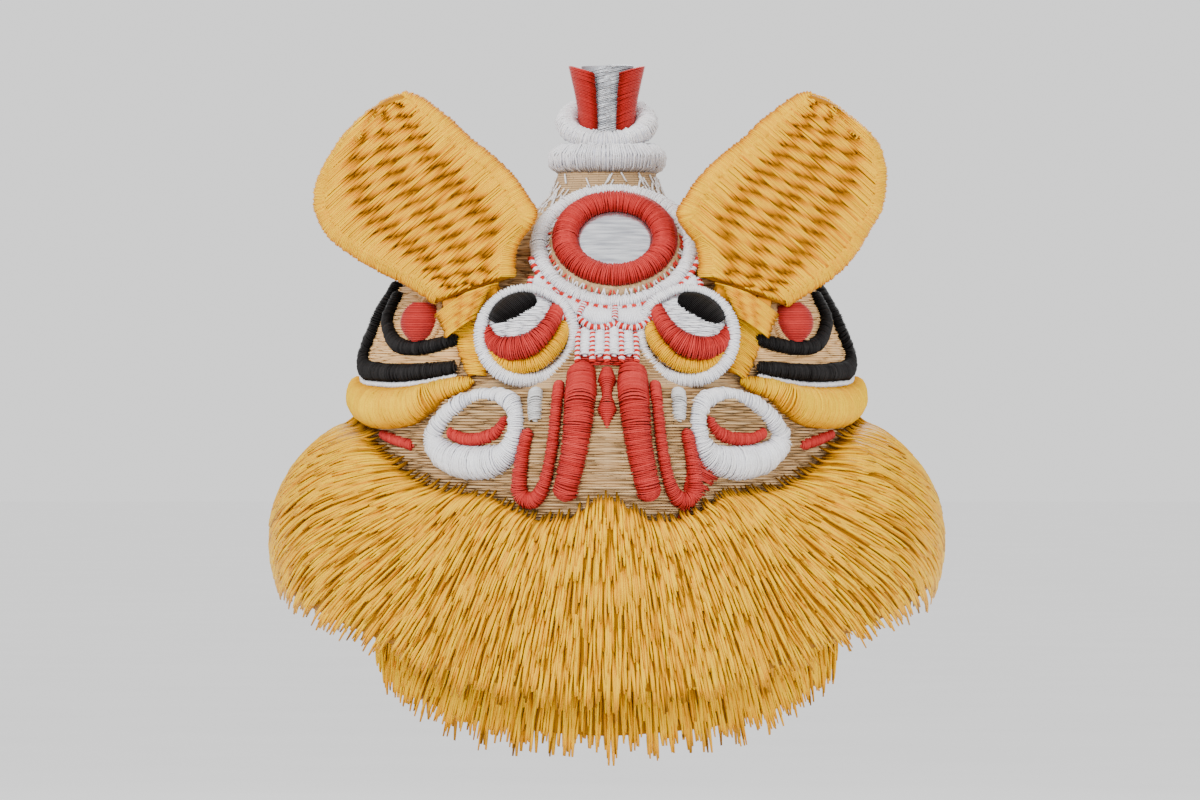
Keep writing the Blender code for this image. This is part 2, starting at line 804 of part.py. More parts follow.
# Jaw
def jaw():
    pivot = Vector((0.0, -JAW_PIVOT_BACKWARD, JAW_PIVOT_HEIGHT))
    spots = 18
    rings = []
    for k in range(spots + 1):
        angle = -JAW_ARM_TO_DEG + 2.0 * JAW_ARM_TO_DEG * k / spots
        edge = rim_point(angle, 0.0)
        inset = JAW_INSET if abs(angle) < LOWER_BEARD_HALF_ANGLE + 4.0 else JAW_INSET * 0.62
        towards = Vector((edge.x, edge.y, 0.0)).normalized()
        outer = edge - towards * inset
        arm_x = math.copysign(max(abs(outer.x) - JAW_ARM_WIDTH, 0.0), outer.x)
        if abs(angle) <= JAW_ARM_FROM_DEG:
            limit = rim_point(JAW_ARM_FROM_DEG, 0.0).x - JAW_INSET - JAW_ARM_WIDTH
            inner = Vector((max(-limit, min(limit, arm_x)), -JAW_REAR_EDGE, 0.0))
        else:
            inner = Vector((arm_x, outer.y, 0.0))
        low = Vector((0.0, 0.0, JAW_TOP - JAW_THICKNESS))
        high = Vector((0.0, 0.0, JAW_TOP))
        rings.append([outer + low, outer + high, inner + high, inner + low])
    points, faces = skin_between(rings)
    item = solid("jaw", points, faces, parts, pivot)
    for side in (-1.0, 1.0):
        name = side_name(side)
        wide = (JAW_LUG_OUT - JAW_LUG_WIDTH, JAW_LUG_OUT)
        lug = []
        for out in wide:
            lug.append([
                Vector((side * out, pivot.y + dy, z)) for dy, z in (
                    (-JAW_LUG_LENGTH / 2.0, JAW_TOP - JAW_THICKNESS + 0.001),
                    (JAW_LUG_LENGTH / 2.0, JAW_TOP - JAW_THICKNESS + 0.001),
                    (JAW_LUG_LENGTH / 2.0, JAW_PIVOT_HEIGHT),
                    (JAW_LUG_LENGTH / 4.0, JAW_PIVOT_HEIGHT + 0.010),
                    (-JAW_LUG_LENGTH / 4.0, JAW_PIVOT_HEIGHT + 0.010),
                    (-JAW_LUG_LENGTH / 2.0, JAW_PIVOT_HEIGHT))])
        points, faces = skin_between(lug)
        combine(item, solid("jaw_lug_" + name, points, faces, cutters), "UNION")
        stub = cross_bar("jaw_stub_" + name, side, JAW_LUG_OUT - 0.004, JAW_PIN_OUT, JAW_PIN_RADIUS)
        combine(item, stub, "UNION")
    return item


def cross_bar(name, side, first, last, radius):
    """A round bar across the head at the jaw pivot."""
    sides = 12
    rings = [[Vector((side * x, -JAW_PIVOT_BACKWARD + radius * math.cos(t),
                      JAW_PIVOT_HEIGHT + radius * math.sin(t)))
              for t in (2.0 * math.pi * k / sides for k in range(sides))] for x in (first, last)]
    points, faces = skin_between(rings)
    return solid(name, points, faces, cutters)


# Mirror
def mirror_place():
    tilt = Matrix.Rotation(math.pi / 2.0 - math.radians(MIRROR_TILT_DEG), 4, "X")
    return Matrix.Translation((MIRROR_ACROSS, -MIRROR_FORWARD, MIRROR_HEIGHT)) @ tilt


def frill(name, edge):
    """A flat scalloped band below the mirror, or the narrow edging round it."""
    place = mirror_place()
    rings = []
    spots = 4 * FRILL_LOBES
    for k in range(spots + 1):
        share = 2.0 * k / spots - 1.0
        wave = abs(math.sin(math.pi * k / 4.0))
        outer = FRILL_RADIUS * (1.0 - FRILL_TUCK * share ** 2) + FRILL_SCALLOP * (2.0 * wave - 1.0)
        inner = FRILL_INNER_RADIUS
        if edge:
            inner = outer + FIT
            outer += FRILL_EDGE
        turn = math.radians(FRILL_HALF_ANGLE_DEG) * share
        rings.append([place @ Vector((radius * math.sin(turn), -radius * math.cos(turn), level))
                      for radius, level in ((inner, FRILL_LOW), (outer, FRILL_LOW),
                                            (outer, FRILL_HIGH), (inner, FRILL_HIGH))])
    points, faces = skin_between(rings)
    return solid(name, points, faces)


# Horn
def horn_place():
    return Matrix.Translation((0.0, HORN_BACKWARD, HEAD_HEIGHT))


def horn_strip(side):
    """A red strip round one side of the core, with its corners over the core's corners."""
    place = horn_place()
    step = 2.0 * math.pi / HORN_SIDES
    rings = []
    for k in range(HORN_STRIP_SPANS + 1):
        turn = step * (k + HORN_SIDES / 4 - HORN_STRIP_SPANS / 2)
        outer = [(radius, height) for height, radius, _ in HORN_STRIP_ROWS]
        inner = [(radius + FIT, height) for height, _, radius in HORN_STRIP_ROWS]
        rings.append([place @ Vector((side * radius * math.sin(turn), -radius * math.cos(turn), height))
                      for radius, height in outer + inner[::-1]])
    points, faces = skin_between(rings, folded=True)
    return solid("horn_strip_" + side_name(side), points, faces)


def upper_collar():
    place = (horn_place() @ Matrix.Translation((0.0, 0.0, UPPER_COLLAR_HEIGHT))
             @ Matrix.Rotation(math.radians(UPPER_COLLAR_TILT_DEG), 4, "X"))
    profile = [(UPPER_COLLAR_RADIUS + UPPER_COLLAR_TUBE * math.cos(t), UPPER_COLLAR_TUBE * math.sin(t))
               for t in (2.0 * math.pi * j / 6 for j in range(6))]
    return turned("collar_upper", profile, 14, place)


# Nose pendant
def nose_pendant():
    outer = []
    for height, width, lift in (
            (PENDANT_HEIGHT - PENDANT_HALF_HEIGHT, 0.0012, 0.002),
            (PENDANT_HEIGHT, PENDANT_HALF_WIDTH, 0.008),
            (PENDANT_HEIGHT + PENDANT_HALF_HEIGHT * 0.85, 0.0040, 0.005),
            (BOW_HEIGHT, 0.0085, 0.009),
            (BOW_HEIGHT + BOW_HALF_HEIGHT, 0.0045, 0.003)):
        ring = []
        for across, share in ((-width, 0.3), (-width * 0.4, 1.0), (width * 0.4, 1.0), (width, 0.3),
                              (width, -0.5), (-width, -0.5)):
            ring.append(on_front(across, height, 1.0, lift * share)[0])
        outer.append(ring)
    points, faces = skin_between(outer)
    return solid("nose_pendant", points, faces)


def build():
    clear_scene()
    shell = head_shell()
    paint(shell, (0.55, 0.40, 0.24), 0.8)
    room = room_of(head_form())
    for side in (-1.0, 1.0):
        cut(shell, cross_bar("jaw_hole_" + side_name(side), side, JAW_LUG_OUT - JAW_LUG_WIDTH,
                             HEAD_HALF_WIDTH + JAW_LUG_WIDTH, JAW_PIN_RADIUS + BORE_FIT))

    # Horn
    neck = turned("horn_neck", NECK_PROFILE, HORN_SIDES, horn_place())
    neck_room = room_of(neck)
    cut(neck, room)
    paint(neck, (0.62, 0.48, 0.36), 0.8)
    lower = turned("collar_lower", LOWER_COLLAR_PROFILE, HORN_SIDES, horn_place())
    paint(lower, (0.90, 0.90, 0.92), 0.8)
    core = turned("horn_core", HORN_CORE_PROFILE, HORN_SIDES, horn_place())
    paint(core, (0.62, 0.64, 0.68), 0.45, 0.6)
    column = [(radius, height) for height, radius, _ in HORN_STRIP_ROWS]
    column = [(0.0, column[0][1] - 0.010), (column[0][0], column[0][1] - 0.010)] + column
    column.append((0.0, column[-1][1]))
    column_form = turned("horn_column", column, HORN_SIDES, horn_place(), cutters)
    upper = upper_collar()
    cut(upper, room_of(lower), room_of(column_form))
    paint(upper, (0.90, 0.90, 0.92), 0.8)
    for side in (-1.0, 1.0):
        strip = horn_strip(side)
        paint(strip, (0.72, 0.12, 0.10), 0.7)

    # Forehead
    place = mirror_place()
    plate = turned("mirror_plate", PLATE_PROFILE, MIRROR_SIDES, place)
    cut(plate, room, neck_room)
    paint(plate, (0.60, 0.45, 0.30), 0.8)
    ring_white = turned("mirror_ring_white", WHITE_RING_PROFILE, MIRROR_SIDES, place)
    ring_white_room = room_of(ring_white)
    cut(ring_white, room)
    paint(ring_white, (0.85, 0.85, 0.87), 0.8)
    ring_red = turned("mirror_ring_red", RED_RING_PROFILE, MIRROR_SIDES, place)
    paint(ring_red, (0.70, 0.10, 0.08), 0.7)
    glass = turned("mirror_glass", MIRROR_PROFILE, MIRROR_SIDES, place)
    paint(glass, (0.75, 0.77, 0.80), 0.08, 1.0)
    white = frill("frill_white", False)
    white_room = room_of(white)
    cut(white, room)
    paint(white, (0.88, 0.87, 0.89), 0.8)
    red = frill("frill_red", True)
    red_room = room_of(red)
    cut(red, room)
    paint(red, (0.70, 0.10, 0.08), 0.7)

    # Bridge and pendant
    rows = [(height, -BRIDGE_HALF_WIDTH, BRIDGE_HALF_WIDTH) for height in BRIDGE_HEIGHTS]
    pad = patch("bridge_pad", rows, on_front, 1.0, -0.005, BRIDGE_PAD, 5)
    pad_room = room_of(pad)
    cut(pad, room, white_room, red_room)
    paint(pad, (0.70, 0.10, 0.08), 0.7)
    for tag, across in BRIDGE_RIBS:
        line = [(across, height, BRIDGE_RIB_RADIUS) for height in BRIDGE_RIB_HEIGHTS]
        rib = draped("bridge_rib_" + tag, line, on_front, 1.0, lift=BRIDGE_PAD)
        cut(rib, pad_room, white_room, red_room)
        paint(rib, (0.88, 0.88, 0.90), 0.8)
    pendant = nose_pendant()
    cut(pendant, room)
    paint(pendant, (0.72, 0.12, 0.10), 0.7)

    beard_rooms = []
    for side in (-1.0, 1.0):
        name = side_name(side)

        # Eye
        centre = Vector((side * EYE_OUT, -EYE_FORWARD, EYE_HEIGHT))
        eye_turn = Matrix.Rotation(math.radians(-EYE_TILT_DEG), 4, "X")
        eye_place = Matrix.Translation(centre) @ eye_turn @ Matrix.Rotation(math.pi / 2.0, 4, "X")
        eye = turned("eye_ball_" + name, EYE_PROFILE, EYE_SIDES, eye_place)
        eye_room = room_of(eye)
        cut(eye, room, white_room, red_room, ring_white_room)
        cut(plate, eye_room)
        cut(pad, eye_room)
        paint(eye, (0.90, 0.90, 0.92), 0.5)
        ring = turned("eye_ring_" + name, EYE_RING_PROFILE, EYE_SIDES, eye_place)
        ring_room = room_of(ring)
        cut(ring, room, white_room, red_room)
        paint(ring, (0.78, 0.78, 0.82), 0.7)

        def on_eye(out, up, turn_side, lift=0.0, centre=centre, eye_turn=eye_turn):
            reach = (out ** 2 + up ** 2) / EYE_RADIUS ** 2
            away = Vector((turn_side * out, -EYE_RADIUS * math.sqrt(max(1.0 - reach, 0.0)), up))
            away = eye_turn.to_3x3() @ away
            return centre + away * (1.0 + lift / EYE_RADIUS), away.normalized()

        tilt = Matrix.Rotation(math.radians(-side * PUPIL_TILT_DEG), 4, "Y")
        spot, away = on_eye(PUPIL_OUT, PUPIL_UP, side)
        facing = Vector((0.0, -1.0, 0.0)).rotation_difference(away)
        pupil = ball("pupil_" + name, spot, PUPIL_RADII, facing.to_matrix().to_4x4() @ tilt, 10, 6)
        pupil_room = room_of(pupil)
        cut(pupil, eye_room, ring_room)
        paint(pupil, (0.02, 0.02, 0.02), 0.4)
        red_lid = draped("lid_red_" + name, RED_LID, on_eye, side)
        lid_room = room_of(red_lid)
        cut(red_lid, room, eye_room, ring_room, pupil_room, white_room, red_room)
        paint(red_lid, (0.72, 0.12, 0.10), 0.7)
        yellow_lid = draped("lid_yellow_" + name, YELLOW_LID, on_eye, side)
        cut(yellow_lid, room, eye_room, ring_room, lid_room, pad_room)
        paint(yellow_lid, (0.90, 0.55, 0.10), 0.7)

        # Muzzle
        bar = draped("nose_bar_" + name, NOSE_BAR, on_front, side, depth=0.85, steps=2)
        bar_room = room_of(bar)
        cut(bar, room, pad_room)
        paint(bar, (0.72, 0.12, 0.10), 0.7)
        cut(pendant, bar_room)
        loop = draped("nose_loop_" + name, NOSE_LOOP, on_front, side, lift=0.002)
        loop_room = room_of(loop)
        cut(loop, room, bar_room)
        paint(loop, (0.72, 0.12, 0.10), 0.7)
        pouch = draped("pouch_ring_" + name, POUCH_RING, on_front, side, closed=True)
        pouch_room = room_of(pouch)
        cut(pouch, room, loop_room)
        paint(pouch, (0.90, 0.90, 0.92), 0.8)
        strip = draped("muzzle_strip_" + name, GREY_STRIP, on_front, side)
        cut(strip, room, loop_room, pouch_room)
        paint(strip, (0.60, 0.60, 0.62), 0.8)
        lip = draped("pouch_lip_" + name, POUCH_LIP, on_front, side)
        cut(lip, room, pouch_room)
        paint(lip, (0.72, 0.12, 0.10), 0.7)

        # Cheek and temple
        roll = draped("cheek_roll_" + name, CHEEK_ROLL, on_side, side)
        roll_room = room_of(roll)
        cut(roll, room, pouch_room, eye_room, ring_room)
        paint(roll, (0.90, 0.62, 0.12), 0.8)
        corner = draped("lip_corner_" + name, LIP_CORNER, on_side, side)
        cut(corner, room, pouch_room, roll_room)
        paint(corner, (0.72, 0.12, 0.10), 0.7)
        temple = patch("temple_pad_" + name, TEMPLE_PAD_ROWS, on_side, side, -0.006, TEMPLE_PAD, 6)
        temple_room = room_of(temple)
        cut(temple, room, roll_room)
        paint(temple, (0.85, 0.62, 0.42), 0.8)
        outer = draped("temple_outer_" + name, TEMPLE_OUTER, on_side, side, lift=0.002)
        outer_room = room_of(outer)
        cut(outer, room, temple_room, roll_room)
        paint(outer, (0.03, 0.03, 0.03), 0.7)
        inner = draped("temple_inner_" + name, TEMPLE_INNER, on_side, side, lift=0.004)
        inner_room = room_of(inner)
        cut(inner, room, temple_room)
        paint(inner, (0.03, 0.03, 0.03), 0.7)
        spot = on_side(TEMPLE_BALL_ANGLE, TEMPLE_BALL_HEIGHT, side, 0.004)[0]
        knob = ball("temple_ball_" + name, spot, (TEMPLE_BALL_RADIUS,) * 3, Matrix(), 10, 7)
        knob_room = room_of(knob)
        cut(knob, room, temple_room)
        paint(knob, (0.72, 0.12, 0.10), 0.6)

        # Ear
        blade, bore = ear_blade(side)
        paint(blade, (0.92, 0.66, 0.14), 0.8)
        root = ear_root(side, bore, room, (eye_room, temple_room, inner_room, outer_room, roll_room,
                                           knob_room))
        paint(root, (0.90, 0.62, 0.12), 0.8)
        beard_rooms += [bar_room, loop_room, pouch_room, roll_room]

    # Beard and jaw
    upper_locks = beard("beard_upper", UPPER_BEARD, UPPER_BEARD_COLUMNS, UPPER_BEARD_HALF_ANGLE, 1,
                        None, BEARD_SUNK, 0.0)
    cut(upper_locks, room, *beard_rooms)
    paint(upper_locks, (0.90, 0.62, 0.12), 0.8)
    chin = jaw()
    paint(chin, (0.50, 0.36, 0.22), 0.7)
    pivot = (0.0, -JAW_PIVOT_BACKWARD, JAW_PIVOT_HEIGHT)
    lower_locks = beard("beard_lower", LOWER_BEARD, LOWER_BEARD_COLUMNS, LOWER_BEARD_HALF_ANGLE, 2,
                        0.0, 0.0, JAW_INSET - JAW_FIT, pivot)
    paint(lower_locks, (0.86, 0.56, 0.10), 0.8)


build()
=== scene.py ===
"""Looks of a lion dance head: fur, satin rolls, cloth, mirror, floor, light and camera.

Metres, +Z up. The face looks along -Y and +X is on the viewer's right.
The tables of the shell, ears, beard and rolls are those of the CAD part.
"""
import math

import bpy
import numpy as np
from mathutils import Matrix, Vector


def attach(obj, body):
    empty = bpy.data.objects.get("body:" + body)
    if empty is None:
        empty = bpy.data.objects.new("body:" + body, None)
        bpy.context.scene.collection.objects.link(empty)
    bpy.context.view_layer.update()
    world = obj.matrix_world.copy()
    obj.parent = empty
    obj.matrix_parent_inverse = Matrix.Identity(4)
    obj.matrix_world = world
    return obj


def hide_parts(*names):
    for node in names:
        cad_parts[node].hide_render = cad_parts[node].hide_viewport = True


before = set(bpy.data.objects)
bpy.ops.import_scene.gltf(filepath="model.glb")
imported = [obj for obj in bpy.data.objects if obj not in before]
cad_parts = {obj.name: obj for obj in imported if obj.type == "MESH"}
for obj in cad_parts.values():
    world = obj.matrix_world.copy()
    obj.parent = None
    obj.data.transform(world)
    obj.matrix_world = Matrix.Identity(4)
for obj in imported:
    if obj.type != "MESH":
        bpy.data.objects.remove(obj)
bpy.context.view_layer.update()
rng = np.random.default_rng(11)

# Head shell
HEAD_HEIGHT = 0.335
HEAD_HALF_WIDTH = 0.252
HEAD_FRONT = 0.255
HEAD_BACK = 0.240
HEAD_SQUARENESS = 2.6
MUZZLE_REACH = 0.090
MUZZLE_HALF_WIDTH = 0.230
SHELL_WALL = 0.003
# Shares of head height, half width, front, back, muzzle reach and muzzle half width
HEAD_SECTIONS = np.array((
    (0.000, 0.944, 0.961, 0.896, 0.890, 1.00),
    (0.149, 0.980, 0.988, 0.958, 1.000, 1.00),
    (0.328, 1.000, 1.000, 1.000, 0.944, 0.98),
    (0.400, 0.996, 1.000, 1.000, 0.860, 0.93),
    (0.454, 0.990, 0.996, 1.000, 0.580, 0.52),
    (0.537, 0.968, 0.980, 0.983, 0.400, 0.42),
    (0.642, 0.921, 0.953, 0.942, 0.070, 0.40),
    (0.746, 0.837, 0.871, 0.867, 0.010, 0.40),
    (0.851, 0.698, 0.745, 0.733, 0.000, 0.40),
    (0.931, 0.516, 0.549, 0.542, 0.000, 0.40),
    (0.979, 0.313, 0.333, 0.329, 0.000, 0.40),
))

CROWN_SHARES = (0.85, 0.65, 0.45, 0.25, 0.01)
# First height, last height and count of the rings of the shell
SHELL_RINGS = ((0.0, 0.300, 51), (0.304, 0.331, 10))
RIM_BINDING_RADIUS = 0.0042
RIM_BINDING_RISE = 0.0035

# Eyes
EYE_OUT = 0.080
EYE_HEIGHT = 0.195
EYE_FORWARD = 0.238
EYE_RADIUS = 0.046
EYE_TILT_DEG = 12.0
EYE_RING_RADIUS = 0.0470
EYE_RING_LEVEL = 0.0270
EYE_RING_TUBE = 0.0062
EYE_RING_SWELL = 0.26
PUPIL_OUT = 0.014
PUPIL_UP = 0.025
PUPIL_HALF_LENGTH = 0.0235
PUPIL_HALF_WIDTH = 0.0150
PUPIL_TILT_DEG = 30.0
# Outward and upward from the eye's centre, and tube radius
RED_LID = (
    (-0.031, 0.028, 0.0070),
    (-0.020, 0.003, 0.0090),
    (-0.003, -0.0135, 0.0120),
    (0.016, -0.0170, 0.0120),
    (0.032, -0.010, 0.0090),
    (0.041, 0.006, 0.0070),
)
YELLOW_LID = (
    (-0.037, 0.010, 0.0062),
    (-0.030, -0.009, 0.0085),
    (-0.013, -0.0275, 0.0090),
    (0.008, -0.0325, 0.0090),
    (0.026, -0.0265, 0.0085),
    (0.038, -0.010, 0.0066),
)

# Mirror on the forehead
MIRROR_ACROSS = 0.008
MIRROR_FORWARD = 0.194
MIRROR_HEIGHT = HEAD_HEIGHT - 0.047
MIRROR_TILT_DEG = 42.0
# Ring radius, level above the plate's plane, and tube radius
WHITE_RING = (0.0765, 0.0010, 0.0082)
RED_RING = (0.0505, 0.0135, 0.0125)
MIRROR_DISC = ((0.0, 0.0158), (0.020, 0.0154), (0.034, 0.0144), (0.0385, 0.0125))
FLORET_RADII = (0.0615, 0.0700)
FLORET_LEVEL = 0.0090
FRILL_RADIUS = 0.1060
FRILL_SCALLOP = 0.0040
FRILL_EDGE = 0.0055
FRILL_INNER_RADIUS = 0.0845
FRILL_HALF_ANGLE_DEG = 62.0
FRILL_TUCK = 0.095
FRILL_LOBES = 6
FRILL_CORD_RADIUS = 0.0032
FRILL_SEAM_RADIUS = 0.0026
FRILL_SPOKE_RADIUS = 0.0022
FLORETS = 110
# Turn round the mirror from a floret's one end to its other, in radians
FLORET_LEAN = 0.055

# Bridge between the eyes
BRIDGE_HALF_WIDTH = 0.0270
BRIDGE_PAD = 0.004
BRIDGE_HEIGHTS = (0.172, 0.208)
BRIDGE_RIB_HEIGHTS = (0.176, 0.188, 0.203)
BRIDGE_RIB_RADIUS = 0.0050
BRIDGE_RIBS = (("a", -0.0205), ("b", -0.0068), ("c", 0.0068), ("d", 0.0205))
BRIDGE_CORDS = (-0.0275, -0.0137, 0.0, 0.0137, 0.0275)

# Draped rolls on the front: outward, height and tube radius
NOSE_BAR = (
    (0.025, 0.170, 0.0140),
    (0.026, 0.140, 0.0155),
    (0.031, 0.092, 0.0140),
    (0.037, 0.062, 0.0130),
    (0.043, 0.036, 0.0125),
)
NOSE_LOOP = (
    (0.047, 0.150, 0.0050),
    (0.050, 0.120, 0.0058),
    (0.054, 0.085, 0.0060),
    (0.061, 0.052, 0.0065),
    (0.072, 0.036, 0.0080),
    (0.085, 0.044, 0.0090),
    (0.083, 0.076, 0.0075),
    (0.077, 0.106, 0.0065),
)
GREY_STRIP = (
    (0.071, 0.143, 0.0065),
    (0.071, 0.128, 0.0075),
    (0.071, 0.114, 0.0065),
)
POUCH_RING = (
    (0.115, 0.139, 0.0080),
    (0.094, 0.131, 0.0090),
    (0.090, 0.107, 0.0090),
    (0.100, 0.080, 0.0130),
    (0.127, 0.072, 0.0165),
    (0.158, 0.078, 0.0150),
    (0.173, 0.096, 0.0120),
    (0.161, 0.119, 0.0090),
    (0.141, 0.134, 0.0080),
)
POUCH_LIP = (
    (0.158, 0.103, 0.0055),
    (0.142, 0.096, 0.0060),
    (0.122, 0.097, 0.0065),
    (0.107, 0.105, 0.0060),
    (0.101, 0.118, 0.0050),
)
EAR_STEM = (
    (0.129, 0.160, 0.0105),
    (0.134, 0.188, 0.0165),
    (0.138, 0.214, 0.0225),
)
# Height, half width and bulge of the pendant with its bow
PENDANT = (
    (0.108, 0.0010, 0.002),
    (0.125, 0.0098, 0.008),
    (0.138, 0.0042, 0.005),
    (0.144, 0.0050, 0.006),
    (0.152, 0.0090, 0.009),
    (0.159, 0.0070, 0.007),
    (0.166, 0.0045, 0.003),
)

# Draped rolls on the sides: angle round the section in degrees, height and tube radius
CHEEK_ROLL = (
    (26.0, 0.153, 0.0060),
    (33.0, 0.144, 0.0110),
    (40.0, 0.133, 0.0170),
    (50.0, 0.127, 0.0200),
    (64.0, 0.128, 0.0200),
    (77.0, 0.137, 0.0160),
    (86.0, 0.150, 0.0100),
)
TEMPLE_OUTER = (
    (77.0, 0.250, 0.0085),
    (76.0, 0.228, 0.0095),
    (76.0, 0.204, 0.0098),
    (78.0, 0.182, 0.0098),
    (74.0, 0.166, 0.0095),
    (62.0, 0.162, 0.0090),
    (50.0, 0.161, 0.0085),
    (40.0, 0.163, 0.0080),
    (31.0, 0.167, 0.0065),
)
TEMPLE_EDGE = (
    (80.2, 0.255, 0.0024),
    (79.3, 0.228, 0.0026),
    (79.4, 0.203, 0.0026),
    (81.0, 0.178, 0.0026),
    (77.0, 0.1550, 0.0026),
    (62.0, 0.1505, 0.0024),
    (50.0, 0.1495, 0.0024),
    (40.0, 0.1525, 0.0024),
    (31.0, 0.1585, 0.0020),
)
TEMPLE_INNER = (
    (68.0, 0.240, 0.0070),
    (66.0, 0.218, 0.0078),
    (61.0, 0.201, 0.0074),
    (54.5, 0.189, 0.0074),
    (46.5, 0.1855, 0.0074),
    (39.0, 0.188, 0.0070),
    (31.0, 0.196, 0.0060),
)
LIP_CORNER = (
    (62.0, 0.101, 0.0040),
    (54.0, 0.095, 0.0055),
    (46.0, 0.089, 0.0048),
)
# Share along each edge of the red fan, distance outward and height
FAN_LEFT = np.array(((0.0, 0.084, 0.094), (1.0, 0.070, 0.018)))
FAN_RIGHT = np.array(((0.0, 0.118, 0.068), (0.5, 0.100, 0.048), (1.0, 0.072, 0.012)))
TEMPLE_BALL_ANGLE = 46.0
TEMPLE_BALL_HEIGHT = 0.211
TEMPLE_BALL_RADIUS = 0.021
TEMPLE_BAND_RADIUS = 0.0245
TEMPLE_BAND_TUBE = 0.0046
TEMPLE_OUTER_LIFT = 0.0055
TEMPLE_INNER_LIFT = 0.0065
TEMPLE_BALL_LIFT = 0.0085
TEMPLE_TRIM_LIFT = 0.005
TEMPLE_PAD = 0.004
# Height, first angle and last angle of the pad
TEMPLE_PAD_ROWS = (
    (0.163, 31.0, 77.0),
    (0.180, 30.0, 77.0),
    (0.200, 32.0, 76.0),
    (0.225, 40.0, 76.0),
    (0.248, 56.0, 76.0),
)

# Horn on top: radius and height above the head's top
HORN_BACKWARD = -0.040
NECK_PROFILE = ((0.078, -0.045), (0.0755, -0.009), (0.066, 0.000), (0.058, 0.009), (0.053, 0.021),
                (0.050, 0.033))
HORN_CORE_PROFILE = ((0.0220, 0.0313), (0.0218, 0.065), (0.0225, 0.105), (0.0262, 0.142))
HORN_STRIP_PROFILE = ((0.0268, 0.0600), (0.0285, 0.085), (0.0312, 0.108), (0.0388, 0.143))
HORN_STRIP_HALF_ANGLE_DEG = 66.0
HORN_FOOT = (0.0250, 0.0690, 0.0034)
HORN_LID = np.array(((0.0262, 0.142), (0.012, 0.1425), (0.001, 0.1425)))
NECK_SPRIGS = 150
LOWER_COLLAR = (0.0430, 0.0465, 0.0172)
UPPER_COLLAR = (0.0410, 0.0840, 0.0108)
UPPER_COLLAR_TILT_DEG = 29.0

# Ears
EAR_LENGTH = 0.291
EAR_FOOT_OUT = 0.129
EAR_FOOT_HEIGHT = 0.163
EAR_SPREAD = 0.282
EAR_LEAN = 0.130
EAR_YAW = 0.270
EAR_THICKNESS = 0.024
EAR_HINGE_ALONG = 0.072
EAR_HINGE_FORWARD = 0.217
EAR_BLADE_START = 0.078
# Shares of ear length: along, outer edge on the viewer's left and right, inner edge
EAR_STATIONS = np.array((
    (0.213, 0.062, 0.076, 0.199),
    (0.275, 0.079, 0.105, 0.209),
    (0.371, 0.155, 0.189, 0.247),
    (0.447, 0.234, 0.247, 0.340),
    (0.522, 0.302, 0.282, 0.330),
    (0.612, 0.364, 0.306, 0.299),
    (0.704, 0.385, 0.326, 0.247),
    (0.784, 0.364, 0.316, 0.192),
    (0.852, 0.310, 0.294, 0.156),
    (0.921, 0.228, 0.240, 0.108),
    (0.969, 0.140, 0.130, 0.072),
    (1.000, 0.040, 0.035, 0.030),
))
# Spans along the hinge axis from the hinge, negative toward the face
KNUCKLE_SPANS = ((-0.044, -0.021), (-0.001, 0.014))
KNUCKLE_RADIUS = 0.0088
LUG_SPAN = (-0.020, -0.002)
LUG_RADIUS = 0.0085
# Fur in front of the hinge: reach from the hinge, outer edge and inner edge
EAR_APRON = np.array((
    (-0.026, 0.0180, -0.0200),
    (-0.012, 0.0195, -0.0340),
    (0.000, 0.0225, -0.0450),
    (0.005, 0.0245, -0.0490),
))
EAR_THREAD_SLOPE = 0.42
EAR_BORDER = 0.015
EAR_RIBS = 4
EAR_RIB_RISE = 0.0030
EAR_CORE_SHARE = 0.84
EAR_APRON_PITCH = 0.0018
EAR_APRON_SLOPE = 0.28
EAR_APRON_FLARE = 0.22
EAR_APRON_FORWARD = 0.0142
EAR_STRAP_RADIUS = 0.0075

# Upper beard: angle round the section, root height, outward reach and tip height
UPPER_BEARD = np.array((
    (0.0, 0.038, 0.030, -0.167),
    (5.0, 0.016, 0.031, -0.166),
    (10.0, 0.014, 0.032, -0.164),
    (16.0, 0.024, 0.034, -0.160),
    (21.0, 0.038, 0.036, -0.156),
    (32.0, 0.042, 0.042, -0.142),
    (38.0, 0.046, 0.048, -0.127),
    (46.0, 0.058, 0.060, -0.112),
    (53.0, 0.072, 0.068, -0.102),
    (64.0, 0.096, 0.077, -0.086),
    (78.0, 0.108, 0.083, -0.066),
    (92.0, 0.112, 0.084, -0.048),
    (106.0, 0.108, 0.080, -0.022),
    (118.0, 0.100, 0.070, 0.010),
))
UPPER_BEARD_HALF_ANGLE = 118.0
UPPER_BEARD_PUFF = 0.0130
# Lower beard: angle round the rim, root height, outward reach and tip height
LOWER_BEARD = np.array((
    (0.0, -0.004, 0.012, -0.213),
    (20.0, -0.004, 0.014, -0.205),
    (35.0, -0.004, 0.022, -0.190),
    (50.0, -0.004, 0.034, -0.163),
    (56.0, -0.004, 0.040, -0.145),
))
LOWER_BEARD_HALF_ANGLE = 56.0
LOWER_BEARD_BACKING = 0.0153
LOWER_BEARD_PUFF = 0.0110

# Distance round the face for a degree of the section
REACH_PER_DEGREE = math.radians(1.0) * 0.24

# Threads
STRAW_PITCH = 0.0029
THREAD_PITCH = 0.0017
THREAD_WIDTH = 0.0023
FUR_WIDTH = 0.0034
FUR_PITCH = 0.0034
TUFT_PITCH = 0.0080
THREAD_SPECULAR = 0.4
# Steps from one row of a roll's table to the next
ROLL_STEPS = 10
STRAW_WIDTH = 0.0035
STRAW_STITCH = 0.040
# Pitch, width and first share of the strands inside a beard
INNER_FUR = (0.0050, 0.0046, 0.05)

